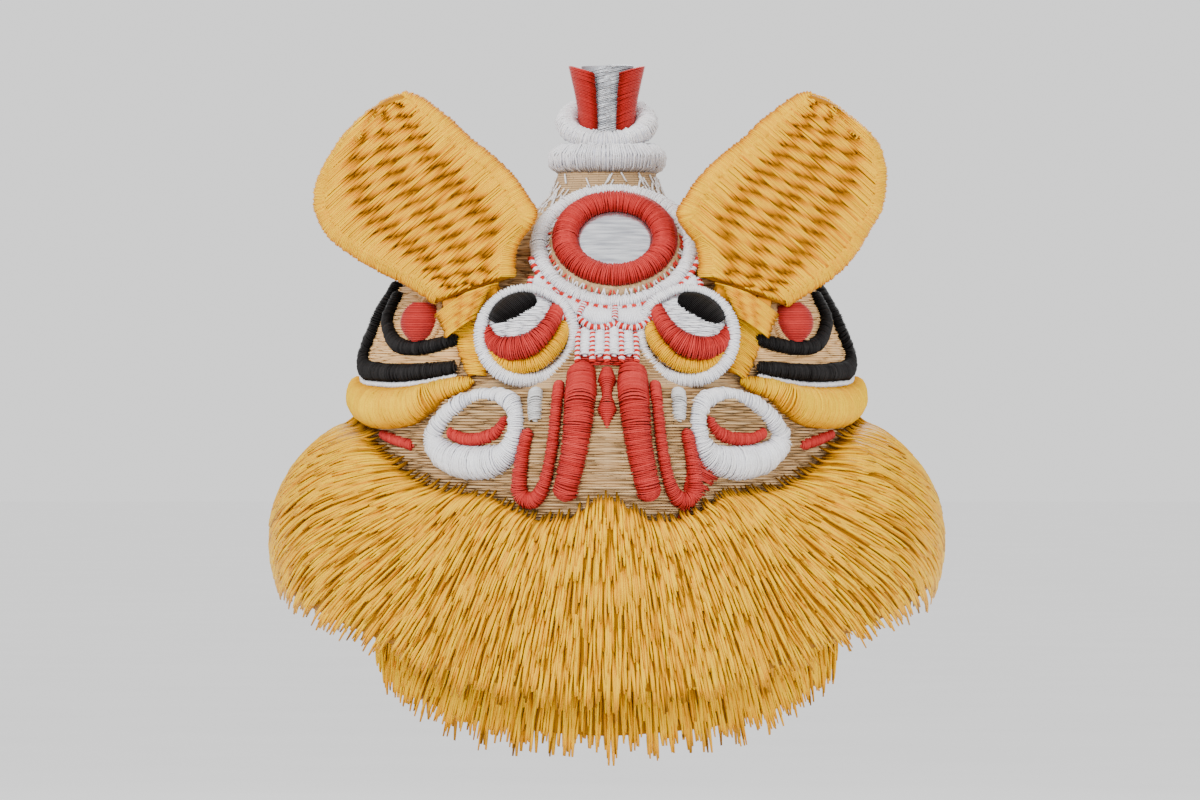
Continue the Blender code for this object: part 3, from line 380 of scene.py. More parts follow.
# Camera and stage
CAMERA_ACROSS = -0.007
CAMERA_HEIGHT = 0.135
CAMERA_DISTANCE = 9.00
FACE_DEPTH = 0.270
FRAME_WIDTH = 1.200
SENSOR = 36.0
FLOOR_HEIGHT = -0.42
FLOOR_RADII = (0.01, 3.0, 40.0)
WORLD_STRENGTH = 1.25
LIGHT_AIM = (0.0, -0.1, 0.12)
# Name, place, size and power of the soft lights
LIGHTS = (
    ("key", (-1.3, -2.2, 1.9), 1.2, 80.0),
    ("fill", (2.0, -2.0, 0.6), 1.8, 32.0),
    ("rim", (0.6, 2.0, 1.8), 1.4, 30.0),
)


def full_turn(count):
    """Even angles round a circle."""
    return np.linspace(0.0, 2.0 * np.pi, count + 1)[:-1]


def matched(*values):
    """The values as arrays of one shape."""
    return np.broadcast_arrays(*(np.asarray(value, float) for value in values))


# Surface of the head
def head_section(height):
    share = np.clip(np.asarray(height, float) / HEAD_HEIGHT, 0.0, HEAD_SECTIONS[-1, 0])
    width, front, back, muzzle, spread = (
        np.interp(share, HEAD_SECTIONS[:, 0], HEAD_SECTIONS[:, k]) for k in range(1, 6))
    return (width * HEAD_HALF_WIDTH, front * HEAD_FRONT, back * HEAD_BACK, muzzle * MUZZLE_REACH,
            spread * MUZZLE_HALF_WIDTH)


def rim(angle, height, section=None):
    """Points of the shell at angles from the front and heights."""
    angle = np.asarray(angle, float)
    height = np.broadcast_to(np.asarray(height, float), angle.shape)
    width, front, back, muzzle, spread = section or head_section(height)
    turn = np.radians(angle)
    power = 2.0 / HEAD_SQUARENESS
    x = np.sign(np.sin(turn)) * np.abs(np.sin(turn)) ** power * width
    forward = np.cos(turn)
    nose = front + muzzle * np.maximum(1.0 - (x / spread) ** 2, 0.0) ** 2
    y = np.where(forward >= 0.0, -(np.abs(forward) ** power) * nose, np.abs(forward) ** power * back)
    return np.stack([x, y, height], axis=-1)


def unit(vectors):
    return vectors / np.maximum(np.linalg.norm(vectors, axis=-1, keepdims=True), 1e-12)


def over_side(angle, height, side, lift=0.0):
    """Points over the shell by angle and height on one side, with outward normals."""
    angle = np.asarray(angle, float)
    height = np.asarray(height, float)
    along = rim(angle + 0.8, height) - rim(angle - 0.8, height)
    upward = rim(angle, height + 0.004) - rim(angle, height - 0.004)
    normal = unit(np.cross(along, upward))
    mirror = np.array((side, 1.0, 1.0))
    return (rim(angle, height) + normal * lift) * mirror, normal * mirror


def over_front(across, height, side, lift=0.0):
    """Points over the shell by distance across and height, with outward normals."""
    across = np.asarray(across, float)
    share = np.minimum(np.abs(across) / head_section(height)[0], 0.999)
    angle = np.degrees(np.arcsin(share ** (HEAD_SQUARENESS / 2.0))) * np.where(across >= 0.0, 1.0, -1.0)
    return over_side(angle, height, side, lift)


def eye_frame(side):
    turn = np.array(Matrix.Rotation(math.radians(-EYE_TILT_DEG), 3, "X"))
    return np.array((side * EYE_OUT, -EYE_FORWARD, EYE_HEIGHT)), turn


def over_eye(out, up, side, lift=0.0):
    """Points over the eyeball by distance outward and upward from its centre."""
    centre, turn = eye_frame(side)
    out = np.asarray(out, float)
    up = np.asarray(up, float)
    depth = np.sqrt(np.maximum(EYE_RADIUS ** 2 - out ** 2 - up ** 2, 0.0))
    away = unit(np.stack([side * out, -depth, up], axis=-1) @ turn.T)
    return centre + away * (EYE_RADIUS + lift), away


def mirror_point(turn, radius, level):
    """Points round the mirror's axis; turn 0 is its lowest side."""
    tilt = Matrix.Rotation(math.pi / 2.0 - math.radians(MIRROR_TILT_DEG), 3, "X")
    turn, radius, level = matched(turn, radius, level)
    local = np.stack([radius * np.sin(turn), -radius * np.cos(turn), level], axis=-1)
    return np.array((MIRROR_ACROSS, -MIRROR_FORWARD, MIRROR_HEIGHT)) + local @ np.array(tilt).T


def horn_point(turn, radius, height):
    turn, radius, height = matched(turn, radius, height)
    return np.stack([radius * np.sin(turn), HORN_BACKWARD - radius * np.cos(turn),
                     HEAD_HEIGHT + height], axis=-1)


# Curves
def smoothed(rows, steps, closed=False):
    """A smooth run through the rows of a table."""
    rows = np.asarray(rows, float)
    count = len(rows)
    spans = count if closed else count - 1
    index = np.arange(spans)[:, None] + np.array((-1, 0, 1, 2))
    index = index % count if closed else np.clip(index, 0, count - 1)
    a, b, c, d = (rows[index[:, k]][:, None, :] for k in range(4))
    t = (np.arange(steps) / steps)[None, :, None]
    run = 0.5 * (2 * b + (c - a) * t + (2 * a - 5 * b + 4 * c - d) * t * t
                 + (3 * b - a - 3 * c + d) * t ** 3)
    run = run.reshape(-1, rows.shape[1])
    return run if closed else np.vstack([run, rows[-1]])


def spaced(run, pitch, closed=False):
    """The same run with its rows a pitch apart; the first three columns are the place."""
    if closed:
        run = np.vstack([run, run[:1]])
    gaps = np.linalg.norm(np.diff(run[:, :3], axis=0), axis=1)
    reach = np.concatenate([[0.0], np.cumsum(gaps)])
    count = max(int(round(reach[-1] / pitch)), 4)
    spots = np.linspace(0.0, reach[-1], count + 1)
    if closed:
        spots = spots[:-1]
    return np.stack([np.interp(spots, reach, run[:, k]) for k in range(run.shape[1])], axis=1)


def ease(value):
    value = np.clip(value, 0.0, 1.0)
    return value * value * (3.0 - 2.0 * value)


# Meshes
def mesh_piece(name, points, quads, triangles=(), tone=None, pick=None):
    """One mesh object from arrays, with its tone (painted light and shade with random variation) and
    second-colour attributes.
    """
    points = np.asarray(points, np.float32).reshape(-1, 3)
    quads = np.asarray(quads, np.int32).reshape(-1, 4)
    triangles = np.asarray(triangles, np.int32).reshape(-1, 3)
    mesh = bpy.data.meshes.new(name)
    mesh.vertices.add(len(points))
    mesh.vertices.foreach_set("co", points.ravel())
    corners = np.concatenate([quads.ravel(), triangles.ravel()])
    mesh.loops.add(len(corners))
    mesh.loops.foreach_set("vertex_index", corners)
    starts = np.concatenate([np.arange(len(quads)) * 4,
                             len(quads) * 4 + np.arange(len(triangles)) * 3]).astype(np.int32)
    mesh.polygons.add(len(starts))
    mesh.polygons.foreach_set("loop_start", starts)
    mesh.polygons.foreach_set("use_smooth", np.full(len(starts), True))
    mesh.update(calc_edges=True)
    for title, values in (("tone", tone), ("pick", pick)):
        layer = mesh.attributes.new(title, "FLOAT", "POINT")
        if values is None:
            values = np.full(len(points), 0.5 if title == "tone" else 0.0)
        layer.data.foreach_set("value", np.asarray(values, np.float32).ravel())
    item = bpy.data.objects.new(name, mesh)
    bpy.context.scene.collection.objects.link(item)
    return item


def grid_faces(rows, columns, around=False, along=False):
    """Quads of a grid of points, joined round its columns or along its rows when asked."""
    r = np.arange(rows if along else rows - 1)
    c = np.arange(columns if around else columns - 1)
    r, c = np.meshgrid(r, c, indexing="ij")
    after_r = (r + 1) % rows
    after_c = (c + 1) % columns
    return np.stack([r * columns + c, r * columns + after_c, after_r * columns + after_c,
                     after_r * columns + c], axis=-1).reshape(-1, 4)


def end_caps(rows, sides):
    """Triangles that close both ends of a tube of rows and sides."""
    last = (rows - 1) * sides
    fan = range(1, sides - 1)
    return [(0, k + 1, k) for k in fan] + [(last, last + k, last + k + 1) for k in fan]


def join_meshes(name, items):
    """Several mesh objects as one, keeping their materials."""
    for item in bpy.context.selected_objects:
        item.select_set(False)
    for item in items:
        item.select_set(True)
    bpy.context.view_layer.objects.active = items[0]
    bpy.ops.object.join()
    items[0].name = name
    return items[0]


def threads(name, paths, normals, widths, tone, pick=None, height=0.55):
    """Many threads as one mesh: each is a slim three-sided strip with its crest outward."""
    paths = np.asarray(paths, float)
    count, steps = paths.shape[:2]
    normals = np.broadcast_to(normals, paths.shape)
    widths = np.broadcast_to(widths, (count, steps))[..., None]
    tone = np.clip(np.broadcast_to(tone, (count, steps)), 0.0, 1.0)
    tangent = unit(np.gradient(paths, axis=1))
    across = unit(np.cross(tangent, normals))
    crest = unit(np.cross(across, tangent))
    left = paths - across * widths * 0.5 - crest * widths * 0.2
    top = paths + crest * widths * height
    right = paths + across * widths * 0.5 - crest * widths * 0.2
    points = np.stack([left, top, right], axis=2).reshape(-1, 3)
    strip = grid_faces(steps, 3, around=True)
    quads = (strip[None] + (np.arange(count) * steps * 3)[:, None, None]).reshape(-1, 4)
    first = np.arange(count) * steps * 3
    last = first + (steps - 1) * 3
    caps = np.concatenate([np.stack([first + 2, first + 1, first], axis=1),
                           np.stack([last, last + 1, last + 2], axis=1)])
    shade = np.repeat(tone.reshape(-1), 3)
    second = None
    if pick is not None:
        second = np.repeat(np.broadcast_to(pick, (count, steps)).reshape(-1), 3)
    return mesh_piece(name, points, quads[:, ::-1], caps[:, ::-1], shade, second)


# Materials
def node_tree(name, roughness, metallic=0.0, sheen=0.0, specular=0.5):
    material = bpy.data.materials.new(name)
    material.use_nodes = True
    tree = material.node_tree
    shader = tree.nodes["Principled BSDF"]
    shader.inputs["Roughness"].default_value = roughness
    shader.inputs["Metallic"].default_value = metallic
    shader.inputs["Sheen Weight"].default_value = sheen
    shader.inputs["Sheen Roughness"].default_value = 0.4
    shader.inputs["Specular IOR Level"].default_value = specular
    return material, tree, shader


def ramp_node(tree, stops, source):
    ramp = tree.nodes.new("ShaderNodeValToRGB")
    ramp.color_ramp.elements[0].position = stops[0][0]
    ramp.color_ramp.elements[0].color = (*stops[0][1], 1.0)
    ramp.color_ramp.elements[1].position = stops[-1][0]
    ramp.color_ramp.elements[1].color = (*stops[-1][1], 1.0)
    for place, colour in stops[1:-1]:
        element = ramp.color_ramp.elements.new(place)
        element.color = (*colour, 1.0)
    tree.links.new(source, ramp.inputs["Fac"])
    return ramp.outputs["Color"]


def noise_node(tree, scale, detail=3.0, stretch=None):
    place = tree.nodes.new("ShaderNodeTexCoord").outputs["Object"]
    if stretch:
        mapping = tree.nodes.new("ShaderNodeMapping")
        mapping.inputs["Scale"].default_value = stretch
        tree.links.new(place, mapping.inputs["Vector"])
        place = mapping.outputs["Vector"]
    noise = tree.nodes.new("ShaderNodeTexNoise")
    noise.inputs["Scale"].default_value = scale
    noise.inputs["Detail"].default_value = detail
    tree.links.new(place, noise.inputs["Vector"])
    return noise.outputs["Fac"]


def mixed(tree, kind, first, second, factor):
    mix = tree.nodes.new("ShaderNodeMix")
    mix.data_type = "RGBA"
    mix.blend_type = kind
    if isinstance(factor, float):
        mix.inputs[0].default_value = factor
    else:
        tree.links.new(factor, mix.inputs[0])
    tree.links.new(first, mix.inputs[6])
    tree.links.new(second, mix.inputs[7])
    return mix.outputs[2]


def bump_into(tree, shader, height, strength, distance):
    bump = tree.nodes.new("ShaderNodeBump")
    bump.inputs["Strength"].default_value = strength
    bump.inputs["Distance"].default_value = distance
    tree.links.new(height, bump.inputs["Height"])
    tree.links.new(bump.outputs["Normal"], shader.inputs["Normal"])


def thread_material(name, dark, middle, bright, other=None, roughness=0.42, sheen=0.1, metallic=0.0):
    """Glossy thread or fur: painted light and shade come from each thread's tone, with fine fibre variation.
    """
    material, tree, shader = node_tree(name, roughness, metallic, sheen, THREAD_SPECULAR)
    shader.inputs["Sheen Tint"].default_value = (*bright, 1.0)
    shader.inputs["Specular Tint"].default_value = (*bright, 1.0)
    tone = tree.nodes.new("ShaderNodeAttribute")
    tone.attribute_name = "tone"
    # The ramp runs from a painted-shade colour through the thread's own colour to a painted-highlight colour.
    colour = ramp_node(tree, ((0.0, dark), (0.5, middle), (1.0, bright)), tone.outputs["Fac"])
    if other:
        pick = tree.nodes.new("ShaderNodeAttribute")
        pick.attribute_name = "pick"
        # The second colour's ramp darkens it toward low tone as painted shade.
        second = ramp_node(tree, ((0.0, tuple(c * 0.35 for c in other)), (0.6, other), (1.0, other)),
                           tone.outputs["Fac"])
        colour = mixed(tree, "MIX", colour, second, pick.outputs["Fac"])
    patches = ramp_node(tree, ((0.30, (0.80, 0.78, 0.76)), (0.62, (1.0, 1.0, 1.0))),
                        noise_node(tree, 55.0, 4.0))
    colour = mixed(tree, "MULTIPLY", colour, patches, 0.55)
    fibres = ramp_node(tree, ((0.35, (0.72, 0.70, 0.68)), (0.60, (1.0, 1.0, 1.0))),
                       noise_node(tree, 900.0, 2.0))
    colour = mixed(tree, "MULTIPLY", colour, fibres, 0.5)
    tree.links.new(colour, shader.inputs["Base Color"])
    bump_into(tree, shader, noise_node(tree, 1300.0, 2.0), 0.35, 0.0004)
    return material


def weave_material(name, dark, light, pitch=0.0024, stitch=0.022, roughness=0.8):
    """Cloth of long staggered horizontal stitches, laid out by its UV map in metres."""
    material, tree, shader = node_tree(name, roughness, sheen=0.2)
    place = tree.nodes.new("ShaderNodeUVMap")
    brick = tree.nodes.new("ShaderNodeTexBrick")
    brick.inputs["Scale"].default_value = 1.0
    brick.inputs["Brick Width"].default_value = stitch
    brick.inputs["Row Height"].default_value = pitch
    brick.inputs["Mortar Size"].default_value = pitch * 0.16
    brick.inputs["Mortar Smooth"].default_value = 0.9
    brick.inputs["Bias"].default_value = 0.1
    brick.offset = 0.37
    brick.inputs["Color1"].default_value = (*light, 1.0)
    brick.inputs["Color2"].default_value = (*(0.8 * a + 0.2 * b for a, b in zip(light, dark)), 1.0)
    brick.inputs["Mortar"].default_value = (*dark, 1.0)
    tree.links.new(place.outputs["UV"], brick.inputs["Vector"])
    patches = ramp_node(tree, ((0.30, (0.82, 0.80, 0.78)), (0.65, (1.0, 1.0, 1.0))),
                        noise_node(tree, 30.0, 5.0))
    colour = mixed(tree, "MULTIPLY", brick.outputs["Color"], patches, 0.7)
    tree.links.new(colour, shader.inputs["Base Color"])
    turned = tree.nodes.new("ShaderNodeMath")
    turned.operation = "SUBTRACT"
    turned.inputs[0].default_value = 1.0
    tree.links.new(brick.outputs["Fac"], turned.inputs[1])
    bump_into(tree, shader, turned.outputs[0], 0.7, 0.0008)
    return material


def grain_material(name, dark, light, scale, stretch, roughness, metallic=0.0, bump=0.3):
    """Wood, metal or paper with a stretched grain."""
    material, tree, shader = node_tree(name, roughness, metallic)
    grain = noise_node(tree, scale, 6.0, stretch)
    tree.links.new(ramp_node(tree, ((0.35, dark), (0.65, light)), grain), shader.inputs["Base Color"])
    bump_into(tree, shader, grain, bump, 0.0006)
    return material


def make_materials():
    # Each thread material's three colours are its painted shade, its own colour and its painted highlight.
    return {
        "ear": thread_material("ear_fur", (0.17, 0.045, 0.0), (0.80, 0.31, 0.0),
                               (1.0, 0.59, 0.0), roughness=0.36),
        "beard": thread_material("beard_fur", (0.15, 0.046, 0.0), (0.84, 0.36, 0.0),
                                 (1.0, 0.62, 0.0), roughness=0.40),
        "cheek": thread_material("cheek_satin", (0.34, 0.10, 0.0), (0.86, 0.38, 0.0),
                                 (1.0, 0.62, 0.0), roughness=0.34),
        "red": thread_material("red_satin", (0.10, 0.003, 0.003), (0.40, 0.019, 0.017),
                               (0.64, 0.064, 0.056), roughness=0.36),
        "white": thread_material("white_satin", (0.40, 0.41, 0.52), (0.84, 0.84, 0.89),
                                 (0.98, 0.98, 0.99), roughness=0.40),
        "grey": thread_material("grey_satin", (0.30, 0.30, 0.31), (0.58, 0.57, 0.56),
                                (0.76, 0.76, 0.76), roughness=0.40),
        "black": thread_material("black_satin", (0.002, 0.002, 0.002), (0.009, 0.008, 0.008),
                                 (0.032, 0.030, 0.030), roughness=0.38, sheen=0.0),
        "peach": thread_material("peach_satin", (0.42, 0.19, 0.06), (0.80, 0.48, 0.20),
                                 (0.92, 0.62, 0.30), roughness=0.42),
        "beige": thread_material("beige_thread", (0.17, 0.085, 0.030), (0.52, 0.32, 0.145),
                                 (0.68, 0.47, 0.25), roughness=0.5),
        "lid": thread_material("lid_satin", (0.40, 0.15, 0.0), (0.92, 0.44, 0.0),
                               (1.0, 0.60, 0.0), roughness=0.36),
        "silver": thread_material("silver_thread", (0.16, 0.17, 0.19), (0.48, 0.50, 0.54),
                                  (0.74, 0.76, 0.80), roughness=0.30, metallic=0.35),
        "candy": thread_material("red_and_white_cord", (0.18, 0.006, 0.005), (0.56, 0.022, 0.018),
                                 (0.74, 0.060, 0.045), other=(0.86, 0.86, 0.90), roughness=0.42),
        "cloth": weave_material("straw_cloth", (0.20, 0.11, 0.04), (0.58, 0.38, 0.19)),
        "lining": weave_material("lining_cloth", (0.17, 0.10, 0.04), (0.42, 0.28, 0.15), 0.0016, 0.0016),
        "peach_felt": grain_material("peach_felt", (0.52, 0.27, 0.10), (0.78, 0.48, 0.22), 260.0,
                                     (1.0, 1.0, 1.0), 0.85),
        "red_felt": grain_material("red_felt", (0.30, 0.010, 0.010), (0.52, 0.030, 0.026), 260.0,
                                   (1.0, 1.0, 1.0), 0.85),
        "beige_felt": grain_material("beige_felt", (0.34, 0.20, 0.09), (0.56, 0.37, 0.19), 260.0,
                                     (1.0, 1.0, 1.0), 0.85),
        "wood": grain_material("jaw_board_wood", (0.26, 0.14, 0.06), (0.48, 0.30, 0.15), 18.0,
                               (1.0, 9.0, 9.0), 0.6),
        "steel": grain_material("pin_steel", (0.40, 0.41, 0.43), (0.62, 0.63, 0.65), 200.0,
                                (1.0, 6.0, 6.0), 0.32, 1.0, 0.1),
        "mirror": grain_material("mirror_silver", (0.46, 0.47, 0.52), (0.86, 0.87, 0.90), 60.0,
                                 (0.5, 5.0, 5.0), 0.22, 0.9, 0.35),
    }


def dress(item, material, body, slot_name, *nodes):
    """Material, body, a slot name that is not used, and the CAD nodes that the piece stands for."""
    item.data.materials.clear()
    item.data.materials.append(material)
    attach(item, body)
    if nodes:
        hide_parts(*nodes)


def repaint(node, material):
    """A new material on a CAD node that stays in view."""
    item = bpy.data.objects[node]
    item.data.materials.clear()
    item.data.materials.append(material)


def side_name(side):
    return "left" if side < 0.0 else "right"


# Satin rolls
def roll_frames(centres, normals, closed):
    if closed:
        ahead = unit(np.roll(centres, -1, axis=0) - np.roll(centres, 1, axis=0))
    else:
        ahead = unit(np.gradient(centres, axis=0))
    across = unit(np.cross(ahead, normals))
    outward = unit(np.cross(across, ahead))
    return ahead, across, outward


def roll_core(name, centre, across, outward, radius, depth, closed):
    """The smooth padding inside a roll."""
    stations = np.unique(np.append(np.arange(0, len(centre), 2), len(centre) - 1))
    sides = 10
    turns = np.radians(np.linspace(0.0, 360.0, sides + 1)[:-1])
    size = radius[stations, None, None]
    points = (centre[stations, None] + across[stations, None] * size * np.cos(turns)[None, :, None]
              + outward[stations, None] * size * depth * np.sin(turns)[None, :, None])
    caps = () if closed else end_caps(len(stations), sides)
    # The core's low tone is painted shade that shows in the gaps between the threads.
    return mesh_piece(name + "_core", points, grid_faces(len(stations), sides, around=True, along=closed),
                      caps, tone=np.full(len(stations) * sides, 0.22))


def satin_roll(name, centres, normals, radii, closed=False, depth=0.9, pitch=THREAD_PITCH,
               width=THREAD_WIDTH, from_deg=-14.0, to_deg=194.0, ragged=7.0, core_share=0.93,
               stripes=0, taper=0.0, fuzz=0.00025, slant=0.0, glow=0.66):
    """A padded core with threads laid side by side across it."""
    run = spaced(np.hstack([centres, normals, np.asarray(radii)[:, None]]), pitch, closed)
    centre, normal, radius = run[:, :3], unit(run[:, 3:6]), run[:, 6].copy()
    count = len(run)
    if not closed and taper > 0.0:
        reach = np.arange(count) * pitch
        ends = np.minimum(reach, reach[::-1]) / taper
        radius *= np.sqrt(np.clip(ends * (2.0 - np.minimum(ends, 1.0)), 0.12, 1.0))
    ahead, across, outward = roll_frames(centre, normal, closed)
    body = roll_core(name, centre, across, outward, radius * core_share, depth, closed)
    steps = 8
    start = np.radians(from_deg + rng.uniform(-ragged, ragged, count))
    stop = np.radians(to_deg + rng.uniform(-ragged, ragged, count))
    share = np.linspace(0.0, 1.0, steps)
    turn = start[:, None] + (stop - start)[:, None] * share
    swell = 1.0 + rng.normal(0.0, fuzz, count)[:, None] / radius[:, None]
    reach = (radius[:, None] * swell)[..., None]
    drift = rng.normal(0.0, pitch * 0.35, count)[:, None] * np.cos(turn)
    drift = drift + slant * radius[:, None] * np.cos(turn)
    paths = (centre[:, None] + across[:, None] * reach * np.cos(turn)[..., None]
             + outward[:, None] * reach * depth * np.sin(turn)[..., None]
             + ahead[:, None] * drift[..., None])
    facing = (across[:, None] * np.cos(turn)[..., None] * depth
              + outward[:, None] * np.sin(turn)[..., None])
    crest = np.sin(np.pi * share) ** 0.6
    wide = width * rng.uniform(0.85, 1.15, count)[:, None] * (0.45 + 0.55 * crest)
    # Each thread is painted light along the roll's crest and dark toward its edges: painted highlight and
    # painted shade.
    sheen = np.sin(np.pi * share) ** 1.15
    tone = 0.20 + glow * sheen * rng.uniform(0.72, 1.14, count)[:, None]
    tone = tone + rng.normal(0, 0.05, count)[:, None]
    pick = None
    if stripes:
        pick = ((np.arange(count) // stripes) % 2)[:, None] * np.ones(steps)
    skin = threads(name + "_threads", paths, facing, wide, tone, pick)
    return join_meshes(name, [body, skin])


def table_roll(name, rows, place, side, closed=False, lift=0.0, **how):
    """A satin roll along the rows of a table on the head or an eye."""
    run = smoothed(rows, ROLL_STEPS, closed)
    centres, normals = place(run[:, 0], run[:, 1], side, lift)
    return satin_roll(name, centres, normals, run[:, 2], closed, **how)


def laid_roll(material, slot_name, node, rows, place, side, ending="_satin", **how):
    """A roll along a table that stands for one node of the head."""
    dress(table_roll(node + ending, rows, place, side, **how), material, "head", slot_name, node)


def ring_roll(name, place, radius, level, tube, swell=0.0, **how):
    """A satin ring about an axis, fuller at its first point.

    place gives points by turn, radius and level.
    """
    turn = full_turn(120)
    centres = place(turn, radius, level)
    normals = unit(place(turn, radius, level + 0.01) - centres)
    return satin_roll(name, centres, normals, tube * (1.0 + swell * np.cos(turn)), closed=True, **how)


# Filled areas
def satin_fill(name, rows, place, side, pitch=0.0022, stitch=0.024, width=0.0026, lift=0.0008,
               rise=0.0006, tone_range=(0.45, 0.9), painted_end_shade=0.35, heights=None, steps=5):
    """Staggered threads across an area: rows give height, first edge and last edge."""
    rows = np.asarray(rows, float)
    if heights is None:
        heights = np.arange(rows[0, 0], rows[-1, 0], pitch)
    paths, faces, tones = [], [], []
    share = np.linspace(0.0, 1.0, steps)
    for index, height in enumerate(heights):
        low = np.interp(height, rows[:, 0], rows[:, 1])
        high = np.interp(height, rows[:, 0], rows[:, 2])
        spot = low - stitch * rng.uniform(0.0, 0.9)
        while spot < high:
            length = stitch * rng.uniform(0.75, 1.25)
            first, last = max(spot, low), min(spot + length, high)
            if last - first > stitch * 0.12:
                line = first + (last - first) * share
                level = height + rng.normal(0.0, pitch * 0.12)
                over = lift + rise * np.sin(np.pi * share)
                points, normals = place(line, np.full(steps, level), side, 0.0)
                paths.append(points + normals * over[:, None])
                faces.append(normals)
                shade = rng.uniform(*tone_range)
                # Each stitch is darkened toward its ends: painted shade where it dips under its neighbours.
                tones.append(shade - painted_end_shade * (1.0 - np.sin(np.pi * share)) ** 2)
            spot += length * 0.96
    wide = width * (0.6 + 0.4 * np.sin(np.pi * share))
    return threads(name, np.array(paths), np.array(faces), wide, np.array(tones))


def surface_of_revolution(name, place, profile, sides=72):
    """A smooth turned surface with a UV map in metres."""
    profile = smoothed(profile, 6)
    turn = np.linspace(0.0, 2.0 * np.pi, sides + 1)
    points = place(turn[None, :], profile[:, :1], profile[:, 1:2])
    item = mesh_piece(name, points, grid_faces(len(profile), sides + 1))
    reach = np.concatenate([[0.0], np.cumsum(np.linalg.norm(np.diff(profile, axis=0), axis=1))])
    add_uv(item, np.broadcast_to(turn[None, :] * profile[:, 0].mean(), points.shape[:2]),
           np.broadcast_to(reach[:, None], points.shape[:2]))
    return item


def add_uv(item, across, up):
    """A UV map in metres from one value pair per point."""
    layer = item.data.uv_layers.new(name="metres")
    corners = np.zeros(len(item.data.loops), np.int32)
    item.data.loops.foreach_get("vertex_index", corners)
    pairs = np.stack([np.ravel(across), np.ravel(up)], axis=1)[corners]
    layer.data.foreach_set("uv", pairs.astype(np.float32).ravel())


# Head shell
def smooth_section(height):
    """The shell's section with the table's corners rounded off."""
    offsets = np.array((-0.012, -0.008, -0.004, 0.0, 0.004, 0.008, 0.012))
    weights = np.array((1.0, 2.0, 3.0, 4.0, 3.0, 2.0, 1.0))
    samples = [np.array(head_section(np.abs(height + offset))) for offset in offsets]
    return tuple(np.tensordot(weights / weights.sum(), np.array(samples), axes=1))


def crowned(skin, drop):
    """The skin with rings added that close its top."""
    middle = skin[-1, :-1].mean(axis=0)
    rings = []
    for share in CROWN_SHARES:
        ring = middle + (skin[-1] - middle) * share
        ring[:, 2] = skin[-1, :, 2] + (HEAD_HEIGHT - drop - skin[-1, :, 2]) * (1.0 - share ** 2)
        rings.append(ring)
    return np.concatenate([skin, np.array(rings)], axis=0)


def build_shell(paint):
    heights = np.concatenate([np.linspace(*span) for span in SHELL_RINGS])
    angles = np.linspace(-180.0, 180.0, 181)
    grid_angle, grid_height = np.meshgrid(angles, heights)
    section = smooth_section(grid_height)
    outer = rim(grid_angle, grid_height, section)
    upward = np.gradient(outer, axis=0)
    along = np.gradient(outer, axis=1)
    normal = unit(np.cross(along, upward))
    inner = outer - normal * SHELL_WALL
    inner[0, :, 2] = 0.0
    arc = np.linalg.norm(np.diff(outer[len(heights) // 3], axis=0), axis=1)
    across = np.concatenate([[0.0], np.cumsum(arc)])
    outer, inner = crowned(outer, 0.0), crowned(inner, SHELL_WALL)
    outer_faces = grid_faces(len(outer), len(angles))
    rise = np.concatenate([[0.0], np.cumsum(np.linalg.norm(np.diff(outer[:, 45], axis=0), axis=1))])
    run, rise = np.meshgrid(across, rise)
    skin = mesh_piece("head_cloth", outer, outer_faces)
    add_uv(skin, run, rise)
    dress(skin, paint["cloth"], "head", "shell", "head_shell")
    lining = mesh_piece("head_lining", inner, outer_faces[:, ::-1])
    add_uv(lining, run, rise)
    dress(lining, paint["lining"], "head", "shell")
    build_rim_binding(paint, rim(angles[:-1], 0.0))


def build_rim_binding(paint, edge):
    """Red cord sewn round the open rim."""
    down = np.tile((0.0, 0.0, -1.0), (len(edge), 1))
    binding = satin_roll("rim_binding", edge + (0.0, 0.0, RIM_BINDING_RISE), down,
                         np.full(len(edge), RIM_BINDING_RADIUS),
                         closed=True, pitch=0.0050, width=0.0064, from_deg=-40.0, to_deg=220.0)
    dress(binding, paint["red"], "head", "red_plush")


# Face
def by_reach(across, height, side, lift=0.0):
    """Points over the shell by a rough distance round it and height."""
    return over_side(np.asarray(across) / REACH_PER_DEGREE, height, side, lift)


def build_muzzle_cloth(paint):
    levels = np.linspace(0.008, 0.327, 400)
    meridian = rim(np.full(400, 55.0), levels)
    climb = np.concatenate([[0.0], np.cumsum(np.linalg.norm(np.diff(meridian, axis=0), axis=1))])
    heights = np.interp(np.arange(0.0, climb[-1], STRAW_PITCH), climb, levels)
    reach = 180.0 * REACH_PER_DEGREE
    rows = ((0.0, -reach, reach), (HEAD_HEIGHT, -reach, reach))
    cloth = satin_fill("straw_threads", rows, by_reach, 1.0, pitch=STRAW_PITCH, stitch=STRAW_STITCH,
                       width=STRAW_WIDTH, lift=0.0003, tone_range=(0.35, 0.95), heights=heights, steps=4)
    dress(cloth, paint["beige"], "head", "beige_cloth")


def build_lip_fan(paint):
    """Red threads that spread from the viewer's right nose loop toward the beard."""
    t = np.linspace(0.0, 1.0, 44)
    left, right = (np.stack([np.interp(t, rows[:, 0], rows[:, k]) for k in (1, 2)], axis=1)
                   for rows in (FAN_LEFT, FAN_RIGHT))
    right += rng.uniform(-0.002, 0.002, right.shape)
    share = np.linspace(0.0, 1.0, 6)[None, :, None]
    line = left[:, None] + (right - left)[:, None] * share
    points, normals = over_front(line[..., 0], line[..., 1], 1.0)
    paths = points + normals * (0.0016 + 0.0012 * np.sin(np.pi * share))
    # Threads are painted light in their middles and dark at their ends: painted highlight and painted shade.
    tone = 0.35 + 0.6 * rng.uniform(0.5, 1.0, 44)[:, None] * np.sin(np.pi * share[..., 0]) ** 0.5
    fan = threads("lip_fan_satin", paths, normals, 0.0026, tone)
    dress(fan, paint["red"], "head", "red_plush")


